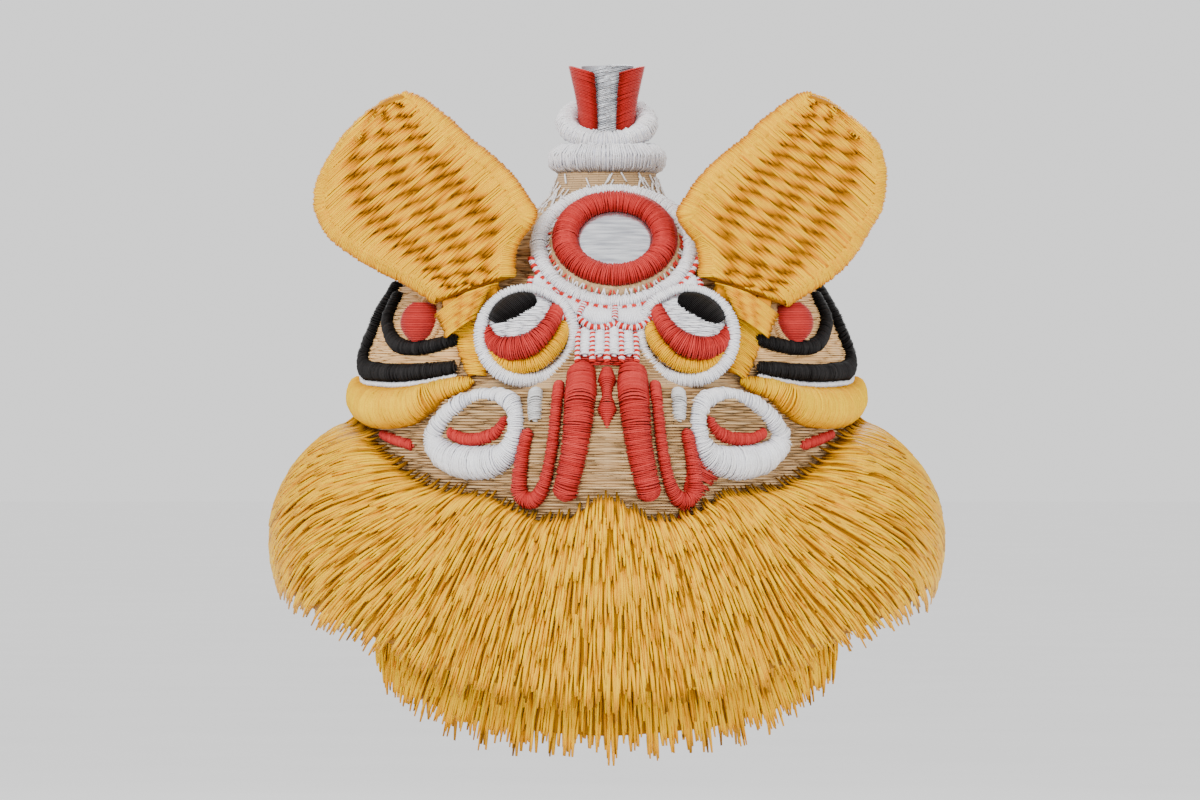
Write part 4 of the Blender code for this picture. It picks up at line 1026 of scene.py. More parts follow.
def build_face(paint, side):
    name = side_name(side)
    red, white = paint["red"], paint["white"]
    laid_roll(red, "red_plush", "nose_bar_" + name, NOSE_BAR, over_front, side, depth=0.85, taper=0.010)
    laid_roll(red, "red_plush", "nose_loop_" + name, NOSE_LOOP, over_front, side, lift=0.002, taper=0.005)
    laid_roll(paint["grey"], "grey_trim", "muzzle_strip_" + name, GREY_STRIP, over_front, side, taper=0.003)
    laid_roll(white, "white_fur", "pouch_ring_" + name, POUCH_RING, over_front, side, "_fur", closed=True,
              ragged=12.0, fuzz=0.0006)
    laid_roll(red, "red_plush", "pouch_lip_" + name, POUCH_LIP, over_front, side, taper=0.004)
    laid_roll(paint["cheek"], "yellow_fur", "cheek_roll_" + name, CHEEK_ROLL, over_side, side,
              taper=0.012, lift=0.005, width=0.0026, pitch=0.0019, glow=0.78)
    laid_roll(red, "red_plush", "lip_corner_" + name, LIP_CORNER, over_side, side, taper=0.004)
    build_ear_root(paint, side)


def build_ear_root(paint, side):
    name = side_name(side)
    stem = table_roll("ear_root_" + name + "_satin", EAR_STEM, over_front, side, depth=0.42, lift=0.004,
                      slant=-0.35, fuzz=0.0006, glow=0.74)
    hinge, along, outward, normal = ear_axes(side)
    lug = pin_barrel("ear_lug_" + name, hinge, along, outward, normal, *LUG_SPAN, LUG_RADIUS)
    top, facing = over_front(EAR_STEM[-1][0] - 0.002, EAR_STEM[-1][1] - 0.006, side, 0.004)
    line = top + (hinge + outward * sum(LUG_SPAN) / 2.0 - top) * np.linspace(0.0, 1.0, 6)[:, None]
    strap = satin_roll("ear_strap_" + name, line, np.broadcast_to(facing, line.shape),
                       np.full(6, EAR_STRAP_RADIUS))
    stem = join_meshes("ear_root_" + name + "_satin",
                       [stem, lug, strap, *ear_apron(ear_place(side), normal)])
    dress(stem, paint["ear"], "head", "yellow_fur", "ear_root_" + name)


def build_temple(paint, side):
    name = side_name(side)
    black = paint["black"]
    laid_roll(black, "black_plush", "temple_outer_" + name, TEMPLE_OUTER, over_side, side,
              lift=TEMPLE_OUTER_LIFT, taper=0.004)
    laid_roll(black, "black_plush", "temple_inner_" + name, TEMPLE_INNER, over_side, side,
              lift=TEMPLE_INNER_LIFT, taper=0.004)
    edge = table_roll("temple_edge_" + name, TEMPLE_EDGE, over_side, side, lift=TEMPLE_TRIM_LIFT,
                      taper=0.003)
    dress(edge, paint["white"], "head", "white_trim")
    steps = np.asarray(TEMPLE_PAD_ROWS)
    rows = np.column_stack([steps[:, 0], steps[:, 1] * REACH_PER_DEGREE, steps[:, 2] * REACH_PER_DEGREE])
    pad = satin_fill("temple_pad_" + name + "_satin", rows, by_reach, side, pitch=0.0017, stitch=0.060,
                     width=0.0027, lift=TEMPLE_PAD + 0.0005, tone_range=(0.62, 0.95), painted_end_shade=0.1)
    dress(pad, paint["peach"], "head", "peach_cloth")
    repaint("temple_pad_" + name, paint["peach_felt"])
    centre = over_side(TEMPLE_BALL_ANGLE, TEMPLE_BALL_HEIGHT, side, TEMPLE_BALL_LIFT)[0]
    ball = threaded_ball("temple_ball_" + name + "_satin", centre, TEMPLE_BALL_RADIUS)
    dress(ball, paint["red"], "head", "red_plush", "temple_ball_" + name)
    middle = TEMPLE_BALL_ANGLE * REACH_PER_DEGREE
    turn = full_turn(60)
    centres, normals = by_reach(middle + TEMPLE_BAND_RADIUS * np.cos(turn),
                                TEMPLE_BALL_HEIGHT + TEMPLE_BAND_RADIUS * np.sin(turn), side,
                                TEMPLE_TRIM_LIFT)
    band = satin_roll("temple_band_" + name, centres, normals, np.full(60, TEMPLE_BAND_TUBE), closed=True)
    dress(band, paint["peach"], "head", "peach_cloth")


def threaded_ball(name, centre, radius):
    """A ball covered in level threads from one side to the other."""
    steps = 13
    ups = np.arange(-radius * 0.96, radius * 0.96, THREAD_PITCH)
    reach = np.sqrt(radius ** 2 - ups ** 2)
    turn = np.radians(np.linspace(-150.0, 150.0, steps))
    facing = np.stack([np.sin(turn), -np.cos(turn), np.zeros(steps)], axis=-1)
    paths = centre + reach[:, None, None] * facing[None] + np.array((0.0, 0.0, 1.0)) * ups[:, None, None]
    normals = unit(paths - centre)
    share = np.linspace(0.0, 1.0, steps)
    # Each thread is painted light across the ball's front and dark round its sides: painted highlight and
    # painted shade.
    tone = 0.35 + 0.5 * rng.uniform(0.6, 1.1, len(ups))[:, None] * np.sin(np.pi * share)
    skin = threads(name + "_threads", paths, normals, THREAD_WIDTH, tone)
    rows, columns = 14, 24
    tilt, spin = np.meshgrid(np.linspace(0.02, np.pi - 0.02, rows), full_turn(columns), indexing="ij")
    core = centre + radius * 0.97 * np.stack([np.sin(tilt) * np.cos(spin), np.sin(tilt) * np.sin(spin),
                                              np.cos(tilt)], axis=-1)
    # The core's low tone is painted shade between the threads.
    body = mesh_piece(name + "_core", core, grid_faces(rows, columns, around=True),
                      tone=np.full(rows * columns, 0.3))
    return join_meshes(name, [body, skin])


def build_eye_ball(paint, side):
    """White stitched cloth over the front of the eyeball."""
    name = side_name(side)
    centre, turn_matrix = eye_frame(side)
    limit = EYE_RADIUS * 0.97
    heights = np.linspace(-limit, limit, 40)
    halves = [math.sqrt(limit ** 2 - height * height) for height in heights]
    rows = [(height, -half - 1e-4, half + 1e-4) for height, half in zip(heights, halves)]
    white = satin_fill("eye_ball_" + name + "_threads", rows, over_eye, side, pitch=0.0018, stitch=0.020,
                       width=0.0024, lift=0.0, rise=0.0003, tone_range=(0.5, 0.95), painted_end_shade=0.2)
    rings, sides = 22, 48
    tilt, spin = np.meshgrid(np.linspace(0.0, np.pi * 0.62, rings), full_turn(sides), indexing="ij")
    cap = EYE_RADIUS * 0.985 * np.stack([np.sin(tilt) * np.cos(spin), -np.cos(tilt),
                                         np.sin(tilt) * np.sin(spin)], axis=-1)
    core = mesh_piece("eye_core", centre + cap @ turn_matrix.T, grid_faces(rings, sides, around=True),
                      tone=np.full(rings * sides, 0.5))
    ball = join_meshes("eye_ball_" + name + "_satin", [core, white])
    dress(ball, paint["white"], "head", "eye_white", "eye_ball_" + name)


def build_eye(paint, side):
    name = side_name(side)
    centre, turn_matrix = eye_frame(side)
    build_eye_ball(paint, side)

    def ring_place(turn, radius, level):
        turn, radius, level = matched(turn, radius, level)
        local = np.stack([radius * np.sin(turn), -level, -radius * np.cos(turn)], axis=-1)
        return centre + local @ turn_matrix.T

    ring = ring_roll("eye_ring_" + name + "_satin", ring_place, EYE_RING_RADIUS, EYE_RING_LEVEL,
                     EYE_RING_TUBE, swell=EYE_RING_SWELL, from_deg=-30.0, to_deg=210.0)
    dress(ring, paint["white"], "head", "white_trim", "eye_ring_" + name)
    laid_roll(paint["red"], "red_plush", "lid_red_" + name, RED_LID, over_eye, side, taper=0.003)
    laid_roll(paint["lid"], "yellow_lid", "lid_yellow_" + name, YELLOW_LID, over_eye, side, taper=0.003)
    pupil = build_pupil("pupil_" + name + "_satin", side)
    dress(pupil, paint["black"], "head", "pupil_black", "pupil_" + name)


def build_pupil(name, side):
    """A bean of black threads laid across it on the eyeball."""
    tilt = math.radians(PUPIL_TILT_DEG)
    reach = np.arange(-PUPIL_HALF_LENGTH, PUPIL_HALF_LENGTH, 0.0014)
    half = PUPIL_HALF_WIDTH * np.sqrt(np.maximum(1.0 - (reach / PUPIL_HALF_LENGTH) ** 2, 0.02)) ** 0.8
    bend = 0.004 * (1.0 - (reach / PUPIL_HALF_LENGTH) ** 2)
    share = np.linspace(-1.0, 1.0, 9)
    v = half[:, None] * share[None, :] * (1.0 + rng.uniform(-0.06, 0.06, len(reach))[:, None]) + bend[:, None]
    u = reach[:, None] + 0.25 * v
    out = PUPIL_OUT + u * math.cos(tilt) + v * math.sin(tilt)
    up = PUPIL_UP - u * math.sin(tilt) + v * math.cos(tilt)
    points, normals = over_eye(out, up, side, 0.0)
    dome = 0.0075 * np.sqrt(np.maximum(1.0 - share ** 2, 0.0)) * np.sqrt(half / PUPIL_HALF_WIDTH)[:, None]
    paths = points + normals * dome[..., None]
    facing = unit(normals + (points - points[:, 4:5]) * 60.0)
    # Threads are painted light along the bean's middle and dark at its edges: painted highlight and painted
    # shade.
    tone = 0.25 + 0.65 * rng.uniform(0.2, 1.0, len(reach))[:, None] * (1.0 - share ** 2)
    skin = threads(name + "_threads", paths, facing, 0.0022, tone)
    # The core's low tone is painted shade between the threads.
    body = mesh_piece(name + "_core", points + normals * (dome - 0.0006)[..., None],
                      grid_faces(len(reach), 9), tone=np.full(points.shape[:2], 0.1))
    return join_meshes(name, [body, skin])


def build_pendant(paint):
    rows = np.asarray(PENDANT)
    heights = np.arange(rows[0, 0], rows[-1, 0], THREAD_PITCH)
    half = np.interp(heights, rows[:, 0], rows[:, 1])
    bulge = np.interp(heights, rows[:, 0], rows[:, 2])
    share = np.linspace(-1.0, 1.0, 9)
    across = half[:, None] * share
    points, normals = over_front(across, np.broadcast_to(heights[:, None], across.shape), 1.0)
    paths = points + normals * (bulge[:, None] * np.sqrt(np.maximum(1.0 - share ** 2, 0.0)))[..., None]
    # Threads are painted light along the middle and dark at the sides: painted highlight and painted shade.
    tone = 0.3 + 0.55 * rng.uniform(0.7, 1.1, len(heights))[:, None] * (1.0 - share ** 2)
    facing = unit(normals + np.stack([share * 0.9, share * 0.0, share * 0.0], axis=-1))
    skin = threads("pendant_threads", paths, facing, 0.0023, tone)
    dress(skin, paint["red"], "head", "red_plush", "nose_pendant")
    skin.name = "nose_pendant_satin"


def build_bridge(paint):
    rows = [(BRIDGE_HEIGHTS[0] - 0.004, -BRIDGE_HALF_WIDTH, BRIDGE_HALF_WIDTH),
            (BRIDGE_HEIGHTS[1] + 0.012, -BRIDGE_HALF_WIDTH, BRIDGE_HALF_WIDTH)]
    pad = satin_fill("bridge_pad_satin", rows, over_front, 1.0, pitch=0.0019, stitch=0.012,
                     width=0.0023, lift=BRIDGE_PAD)
    dress(pad, paint["red"], "head", "red_plush")
    repaint("bridge_pad", paint["red_felt"])
    for tag, across in BRIDGE_RIBS:
        line = [(across, height, BRIDGE_RIB_RADIUS) for height in BRIDGE_RIB_HEIGHTS]
        laid_roll(paint["white"], "white_trim", "bridge_rib_" + tag, line, over_front, 1.0,
                  lift=BRIDGE_PAD, taper=0.002)
    for index, across in enumerate(BRIDGE_CORDS):
        line = [(across, height, 0.0026) for height in (0.170, 0.188, 0.205)]
        cord = table_roll("bridge_cord_%d" % index, line, over_front, 1.0, lift=BRIDGE_PAD + 0.001, stripes=2,
                          pitch=0.0015)
        dress(cord, paint["candy"], "head", "red_plush")


# Mirror
def build_mirror(paint):
    white = ring_roll("mirror_ring_white_fur", mirror_point, *WHITE_RING, ragged=10.0, fuzz=0.0005,
                      from_deg=-50.0, to_deg=230.0)
    dress(white, paint["white"], "head", "white_fur", "mirror_ring_white")
    red = ring_roll("mirror_ring_red_satin", mirror_point, *RED_RING, from_deg=-20.0, to_deg=200.0)
    dress(red, paint["red"], "head", "red_plush", "mirror_ring_red")
    disc = surface_of_revolution("mirror_glass_disc", mirror_point, MIRROR_DISC, 96)
    dress(disc, paint["mirror"], "head", "mirror", "mirror_glass")
    repaint("mirror_plate", paint["beige_felt"])
    axis = unit(mirror_point(0.0, 0.0, 1.0) - mirror_point(0.0, 0.0, 0.0))
    build_florets(paint, axis)
    build_frill(paint, axis)


def build_florets(paint, axis):
    """Red and white stitches, leaning by turns, between the mirror's two rings."""
    count = FLORETS
    turn = full_turn(count) + rng.normal(0.0, 0.02, count)
    lean = np.where(np.arange(count) % 2 == 0, FLORET_LEAN, -FLORET_LEAN)
    share = np.linspace(0.0, 1.0, 5)
    radius = FLORET_RADII[0] + (FLORET_RADII[1] - FLORET_RADII[0]) * share
    level = FLORET_LEVEL - 0.006 * share + 0.0022 * np.sin(np.pi * share)
    paths = mirror_point(turn[:, None] + lean[:, None] * (share - 0.5), radius[None, :], level[None, :])
    pick = (rng.uniform(size=count) > 0.45).astype(float)[:, None]
    florets = threads("mirror_florets", paths, axis, 0.0022, 0.75, pick)
    dress(florets, paint["candy"], "head", "white_trim")


def frill_outline(share):
    """Outer radius of the scalloped frill at shares from -1 to 1 of its half angle."""
    wave = np.abs(np.sin(np.pi * (share + 1.0) / 2.0 * FRILL_LOBES))
    return FRILL_RADIUS * (1.0 - FRILL_TUCK * share ** 2) + FRILL_SCALLOP * (2.0 * wave - 1.0)


def build_frill(paint, axis):
    half = math.radians(FRILL_HALF_ANGLE_DEG)
    share = np.linspace(-1.0, 1.0, 132)
    steps = np.linspace(0.0, 1.0, 7)
    outer = frill_outline(share) * (1.0 + rng.normal(0.0, 0.004, len(share)))
    radius = FRILL_INNER_RADIUS + (outer - FRILL_INNER_RADIUS)[:, None] * steps
    swell = np.abs(np.sin(np.pi * (share + 1.0) / 2.0 * FRILL_LOBES))[:, None]
    level = 0.0045 + 0.0028 * swell * np.sin(np.pi * steps)
    paths = mirror_point(half * share[:, None] + 0.0 * steps, radius, level)
    # Threads are painted light in their middles and dark at both ends: painted highlight and painted shade.
    tone = 0.25 + 0.6 * np.sin(np.pi * steps) * rng.uniform(0.8, 1.1, len(share))[:, None]
    band = threads("frill_threads", paths, axis, 0.0024, tone)
    base_level = np.array((-0.002, 0.0042))
    base_radius = np.stack([np.full(len(share), FRILL_INNER_RADIUS), outer], axis=1)
    base = mirror_point(half * share[:, None, None], base_radius[:, None, :], base_level[None, :, None])
    base = base[:, (0, 0, 1, 1), (0, 1, 1, 0)]
    # The slab's lowered tone is painted shade between the threads.
    slab = mesh_piece("frill_slab", base, grid_faces(len(share), 4, around=True),
                      tone=np.full(len(share) * 4, 0.4))
    frill = join_meshes("frill_white_satin", [slab, band])
    dress(frill, paint["white"], "head", "white_fur", "frill_white")
    build_frill_cords(paint, axis, half)


def frill_cord(paint, name, line, axis, radius, *nodes, **how):
    """A red and white cord on the frill."""
    cord = satin_roll(name, line, np.broadcast_to(axis, line.shape), np.full(len(line), radius), **how)
    dress(cord, paint["candy"], "head", "red_plush", *nodes)


def build_frill_cords(paint, axis, half):
    wrapped = {"pitch": 0.0016, "from_deg": -30.0, "to_deg": 210.0}
    share = np.linspace(-1.0, 1.0, 260)
    edge = mirror_point(half * share, frill_outline(share) + FRILL_EDGE * 0.45, 0.002)
    frill_cord(paint, "frill_edge_cord", edge, axis, FRILL_CORD_RADIUS, "frill_red", stripes=2, **wrapped)
    seam = mirror_point(half * 1.25 * np.linspace(-1.0, 1.0, 120), FRILL_INNER_RADIUS + 0.002, 0.0045)
    frill_cord(paint, "frill_seam_cord", seam, axis, FRILL_SEAM_RADIUS, stripes=3, **wrapped)
    for lobe in range(1, FRILL_LOBES):
        turn = half * (2.0 * lobe / FRILL_LOBES - 1.0)
        radii = np.linspace(FRILL_INNER_RADIUS + 0.002, FRILL_RADIUS - FRILL_SCALLOP, 10)
        spoke = mirror_point(turn, radii, 0.0060)
        frill_cord(paint, "frill_spoke_%d" % lobe, spoke, axis, FRILL_SPOKE_RADIUS, stripes=1,
                   pitch=0.0018)


# Horn
def build_horn(paint):
    build_neck(paint)
    build_collars(paint)
    foot = ring_roll("horn_foot_roll", horn_point, *HORN_FOOT)
    dress(foot, paint["beige"], "head", "beige_cloth")
    build_horn_core(paint)
    for side in (-1.0, 1.0):
        build_horn_strip(paint, side)


def build_neck(paint):
    """The horn's neck, with short crossed white stitches scattered over it."""
    neck = surface_of_revolution("horn_neck_cloth", horn_point, NECK_PROFILE)
    dress(neck, paint["cloth"], "head", "beige_cloth", "horn_neck")
    count = NECK_SPRIGS
    turn = rng.uniform(0.0, 2.0 * np.pi, count)
    height = rng.uniform(-0.006, 0.028, count)
    lean = rng.choice((-1.0, 1.0), count) * 0.10
    share = np.linspace(0.0, 1.0, 5)
    level = height[:, None] + 0.010 * (share - 0.5)
    neck_radius = np.interp(level, [p[1] for p in NECK_PROFILE], [p[0] for p in NECK_PROFILE])
    paths = horn_point(turn[:, None] + lean[:, None] * (share - 0.5), neck_radius + 0.0012, level)
    facing = unit(paths - horn_point(0.0, 0.0, level))
    sprigs = threads("neck_florets", paths, facing, 0.0022, 0.8)
    dress(sprigs, paint["white"], "head", "white_trim")


def build_collars(paint):
    lower = ring_roll("collar_lower_fur", horn_point, *LOWER_COLLAR, from_deg=-80.0, to_deg=260.0,
                      ragged=14.0, fuzz=0.0007, width=0.0026)
    dress(lower, paint["white"], "head", "white_fur", "collar_lower")
    tilt = np.array(Matrix.Rotation(math.radians(UPPER_COLLAR_TILT_DEG), 3, "X"))
    middle = horn_point(0.0, 0.0, UPPER_COLLAR[1])

    def tilted(turn, radius, level):
        turn, radius, level = matched(turn, radius, level)
        local = np.stack([radius * np.sin(turn), -radius * np.cos(turn), level], axis=-1)
        return middle + local @ tilt.T

    upper = ring_roll("collar_upper_fur", tilted, UPPER_COLLAR[0], 0.0, UPPER_COLLAR[2], from_deg=-100.0,
                      to_deg=260.0, ragged=14.0, fuzz=0.0007)
    dress(upper, paint["white"], "head", "white_fur", "collar_upper")


def build_horn_core(paint):
    """The silver core: threads of many shades wound round it, and a closed top."""
    core_run = smoothed(HORN_CORE_PROFILE, 8)
    body = surface_of_revolution("horn_core_body", horn_point, HORN_CORE_PROFILE, 48)
    rows = np.arange(core_run[0, 1], core_run[-1, 1], 0.0017)
    share = np.linspace(0.0, 1.0, 9)
    paths, faces, tones = [], [], []
    for height in rows:
        for sector in range(4):
            start = sector * np.pi / 2.0 + rng.uniform(-0.2, 0.2)
            turn = start + share * np.pi / 2.0 * 1.04
            level = height + 0.006 * np.sin(turn) + rng.normal(0.0, 0.0003)
            radius = np.interp(level, core_run[:, 1], core_run[:, 0]) + 0.0004
            points = horn_point(turn, radius, np.minimum(level, core_run[-1, 1]))
            paths.append(points)
            faces.append(np.stack([np.sin(turn), -np.cos(turn), np.zeros(9)], axis=-1))
            tones.append(np.full(9, rng.uniform(0.15, 1.0)))
    skin = threads("horn_core_threads", np.array(paths), np.array(faces), 0.0021, np.array(tones))
    lid_turn = full_turn(48)
    top = horn_point(lid_turn[None, :], HORN_LID[:, :1], HORN_LID[:, 1:])
    lid = mesh_piece("horn_lid", top, grid_faces(3, 48, around=True))
    core = join_meshes("horn_core_satin", [body, skin, lid])
    dress(core, paint["silver"], "head", "silver_foil", "horn_core")


def build_horn_strip(paint, side):
    """A red strip that stands round one side of the core."""
    name = side_name(side)
    strip_run = smoothed(HORN_STRIP_PROFILE, 8)
    half = math.radians(HORN_STRIP_HALF_ANGLE_DEG)
    columns = 11
    levels = np.arange(strip_run[0, 1], strip_run[-1, 1], 0.0016)
    sweep = np.linspace(-1.0, 1.0, columns)
    turn = side * (np.pi / 2.0 + half * sweep)
    jitter = 1.0 + rng.uniform(-0.03, 0.03, len(levels))[:, None]
    level = levels[:, None] - 0.008 * sweep[None, :] ** 2
    narrowing = 1.0 - 0.16 * np.abs(sweep) ** 5
    radius = np.interp(levels, strip_run[:, 1], strip_run[:, 0])[:, None] * narrowing
    paths = horn_point(side * (np.pi / 2.0 + half * sweep[None, :] * jitter), radius, level)
    facing = np.stack([np.sin(turn), -np.cos(turn), np.zeros(columns)], axis=-1)[None]
    # Threads are painted light along the strip's middle and dark toward its edges: painted highlight and
    # painted shade.
    tone = 0.25 + 0.55 * (1.0 - sweep ** 4)[None, :] * rng.uniform(0.75, 1.1, len(levels))[:, None]
    band = threads("strip_threads", paths, facing, 0.0023, tone)
    # The core's low tone is painted shade between the threads.
    under = mesh_piece("strip_core", horn_point(turn[None, :], radius - 0.0012, level),
                       grid_faces(len(levels), columns), tone=np.full((len(levels), columns), 0.15))
    strip = join_meshes("horn_strip_" + name + "_satin", [under, band])
    dress(strip, paint["red"], "head", "red_plush", "horn_strip_" + name)


# Ears
def ear_axes(side):
    rise = math.sqrt(1.0 - EAR_SPREAD ** 2)
    hinge = np.array((side * (EAR_FOOT_OUT + EAR_SPREAD * EAR_HINGE_ALONG), -EAR_HINGE_FORWARD,
                      EAR_FOOT_HEIGHT + EAR_HINGE_ALONG * rise))
    along = unit(np.array((side * EAR_SPREAD, EAR_LEAN, rise)))
    outward = np.array((side * rise, EAR_YAW, -EAR_SPREAD))
    outward = unit(outward - along * outward.dot(along))
    normal = unit(np.cross(outward, along))
    if normal[1] > 0.0:
        normal = -normal
    return hinge, along, outward, normal


def ear_place(side):
    """A function that turns distances outward, along and forward of the hinge into points."""
    hinge, along, outward, normal = ear_axes(side)

    def place(across, up, depth):
        across, up, depth = np.broadcast_arrays(across, up, depth)
        return hinge + across[..., None] * outward + up[..., None] * along + depth[..., None] * normal

    return place


def ear_outline(side):
    """Reach along the ear with its outer and inner edges, in metres from the hinge."""
    run = smoothed(EAR_STATIONS, 8)
    widen = EAR_LENGTH / math.sqrt(1.0 - EAR_YAW ** 2)
    reach = (run[:, 0] * EAR_LENGTH - EAR_HINGE_ALONG) * (1.0 + EAR_LEAN ** 2 / 2.0)
    outer = run[:, 1 if side < 0.0 else 2] * widen
    inner = -run[:, 3] * widen
    keep = reach >= EAR_BLADE_START - EAR_HINGE_ALONG
    return reach[keep], outer[keep], inner[keep]


def pin_barrel(name, hinge, along, outward, normal, start, stop, radius):
    """A short closed barrel on the hinge axis."""
    turn = full_turn(24)
    circle = along * np.cos(turn)[:, None] + normal * np.sin(turn)[:, None]
    spots = ((start, 0.0005), (start, radius - 0.001), (start + 0.001, radius),
             (stop - 0.001, radius), (stop, radius - 0.001), (stop, 0.0005))
    points = np.array([hinge + outward * spot + circle * size for spot, size in spots])
    return mesh_piece(name, points, grid_faces(len(spots), 24, around=True), tone=np.full(6 * 24, 0.45))


def build_ear(paint, side):
    name = side_name(side)
    hinge, along, outward, normal = ear_axes(side)
    reach, outer, inner = ear_outline(side)
    place = ear_place(side)
    pieces = [pin_barrel("ear_knuckle", hinge, along, outward, normal, *span, KNUCKLE_RADIUS)
              for span in KNUCKLE_SPANS]
    stations, sides = 70, 32
    ups = np.linspace(reach[0], reach[-1] - 0.0015, stations)
    high = np.interp(ups, reach, outer)
    low = np.interp(ups, reach, inner)
    spin = full_turn(sides)
    middle = (high + low)[:, None] / 2.0
    half = (high - low)[:, None] / 2.0
    thick = np.minimum(EAR_THICKNESS / 2.0, half * 0.5 + 0.002) * EAR_CORE_SHARE
    core = place(middle + half * 0.955 * np.sign(np.cos(spin)) * np.abs(np.cos(spin)) ** 0.7,
                 ups[:, None] + 0.0 * spin, thick * np.sin(spin))
    # The core's low tone is painted shade that shows between the fur threads.
    pieces.append(mesh_piece("ear_core", core, grid_faces(stations, sides, around=True),
                             end_caps(stations, sides), tone=np.full(stations * sides, 0.18)))
    pieces.append(ear_border(place, reach, outer, inner, normal, outward, along))
    for face in (1.0, -1.0):
        pieces.append(ear_panel(place, reach, outer, inner, normal * face, face))
    ear = join_meshes("ear_" + name + "_fur", pieces)
    dress(ear, paint["ear"], "ear_" + name, "yellow_fur", "ear_" + name)


def ear_apron(place, normal):
    """Fur of the root that stands in front of the hinge."""
    ups = np.arange(EAR_APRON[0, 0], EAR_APRON[-1, 0], EAR_APRON_PITCH)
    outer, inner = (np.interp(ups, EAR_APRON[:, 0], EAR_APRON[:, k])[:, None] for k in (1, 2))
    share = np.linspace(0.0, 1.0, 12)
    ragged = rng.uniform(-0.0012, 0.0012, (len(ups), 1))
    across = inner + (outer - inner) * share + ragged
    up = np.minimum(ups[:, None] - EAR_APRON_SLOPE * (across - (outer + inner) / 2.0), EAR_APRON[-1, 0])
    flare = EAR_APRON_FLARE * (EAR_APRON[-1, 0] - ups[:, None]) + rng.uniform(0.0, 0.0016, (len(ups), 1))
    depth = EAR_APRON_FORWARD + flare + 0.0022 * np.sin(np.pi * share) - 0.004 * (2.0 * share - 1.0) ** 4
    saw = 0.14 * (np.arange(len(ups)) / 5.0 % 1.0)[:, None]
    # Painted shade: dark patches at the saw-toothed stitch breaks and a darkened outer rim.
    patch = np.exp(-((share - 0.20 - saw) / 0.07) ** 2) + np.exp(-((share - 0.50 - saw) / 0.07) ** 2)
    painted_rim_shade = 0.55 * ease((share - 0.88) / 0.12)
    # Threads are painted light in their middles as a painted highlight.
    tone = 0.62 + 0.42 * rng.uniform(0.50, 1.05, (len(ups), 1)) * np.sin(np.pi * share) ** 0.5
    tone = tone - 0.62 * patch - painted_rim_shade
    skin = threads("ear_apron", place(across, up, depth), normal, 0.0022, tone)
    front = place(across, up, depth - 0.0004)
    back = place(across, up, depth - 0.0014)
    # The core's low tone is painted shade between the threads.
    slab = mesh_piece("ear_apron_core", np.concatenate([front, back[:, ::-1]], axis=1),
                      grid_faces(len(ups), 24, around=True), tone=np.full((len(ups), 24), 0.3))
    return [skin, slab]


def ear_border(place, reach, outer, inner, normal, outward, along):
    """Threads that wrap the ear's rim from its front to its back."""
    outline = np.concatenate([np.stack([outer, reach], axis=1), np.stack([inner, reach], axis=1)[::-1]])
    outline = np.hstack([outline, np.zeros((len(outline), 1))])
    run = spaced(outline, 0.0017)[:, :2]
    ahead = unit(np.gradient(run, axis=0))
    window = np.ones(13) / 13.0
    ahead = unit(np.stack([np.convolve(np.pad(ahead[:, k], 6, mode="edge"), window, mode="valid")
                           for k in (0, 1)], axis=1))
    inward = np.stack([-ahead[:, 1], ahead[:, 0]], axis=1)
    centre = np.array(((outer.mean() + inner.mean()) / 2.0, reach.mean()))
    flip = np.sign(((centre - run) * inward).sum(axis=1))
    inward *= np.where(flip.mean() >= 0.0, 1.0, -1.0)
    steps = 13
    turn = np.linspace(0.0, np.pi, steps)
    count = len(run)
    local_half = np.interp(run[:, 1], reach, (outer - inner) / 2.0)[:, None]
    width = EAR_BORDER * rng.uniform(0.85, 1.25, count)[:, None]
    width = np.minimum(width, local_half * 0.7 + 0.002)
    depth_limit = np.minimum(EAR_THICKNESS / 2.0 - 0.0003, local_half * 0.5 + 0.002)
    edge = 0.0016 * rng.uniform(0.0, 1.0, count)[:, None]
    into = width * (1.0 - np.sin(turn)) - edge
    depth = depth_limit * np.cos(turn)
    flat = run[:, None] + inward[:, None] * into[..., None]
    paths = place(flat[..., 0], flat[..., 1], depth)
    out3 = -(inward[:, :1] * outward + inward[:, 1:] * along)
    facing = unit(out3[:, None] * np.sin(turn)[None, :, None] + normal * np.cos(turn)[None, :, None])
    # Painted light and shade: threads are light on the ear's faces, dark where they turn round its outer edge
    # and a little darker at their ends; near the foot they are kept light.
    crest = np.abs(np.cos(turn))
    tone = 0.28 + 0.70 * ease(crest / 0.75) - 0.12 * ease((crest - 0.9) / 0.1)
    foot = 1.0 - ease((run[:, 1] - reach[0]) / 0.020)[:, None]
    tone = np.maximum(tone[None], 0.85 * foot) * rng.uniform(0.80, 1.08, count)[:, None]
    return threads("ear_border", paths, facing, 0.0024, tone)


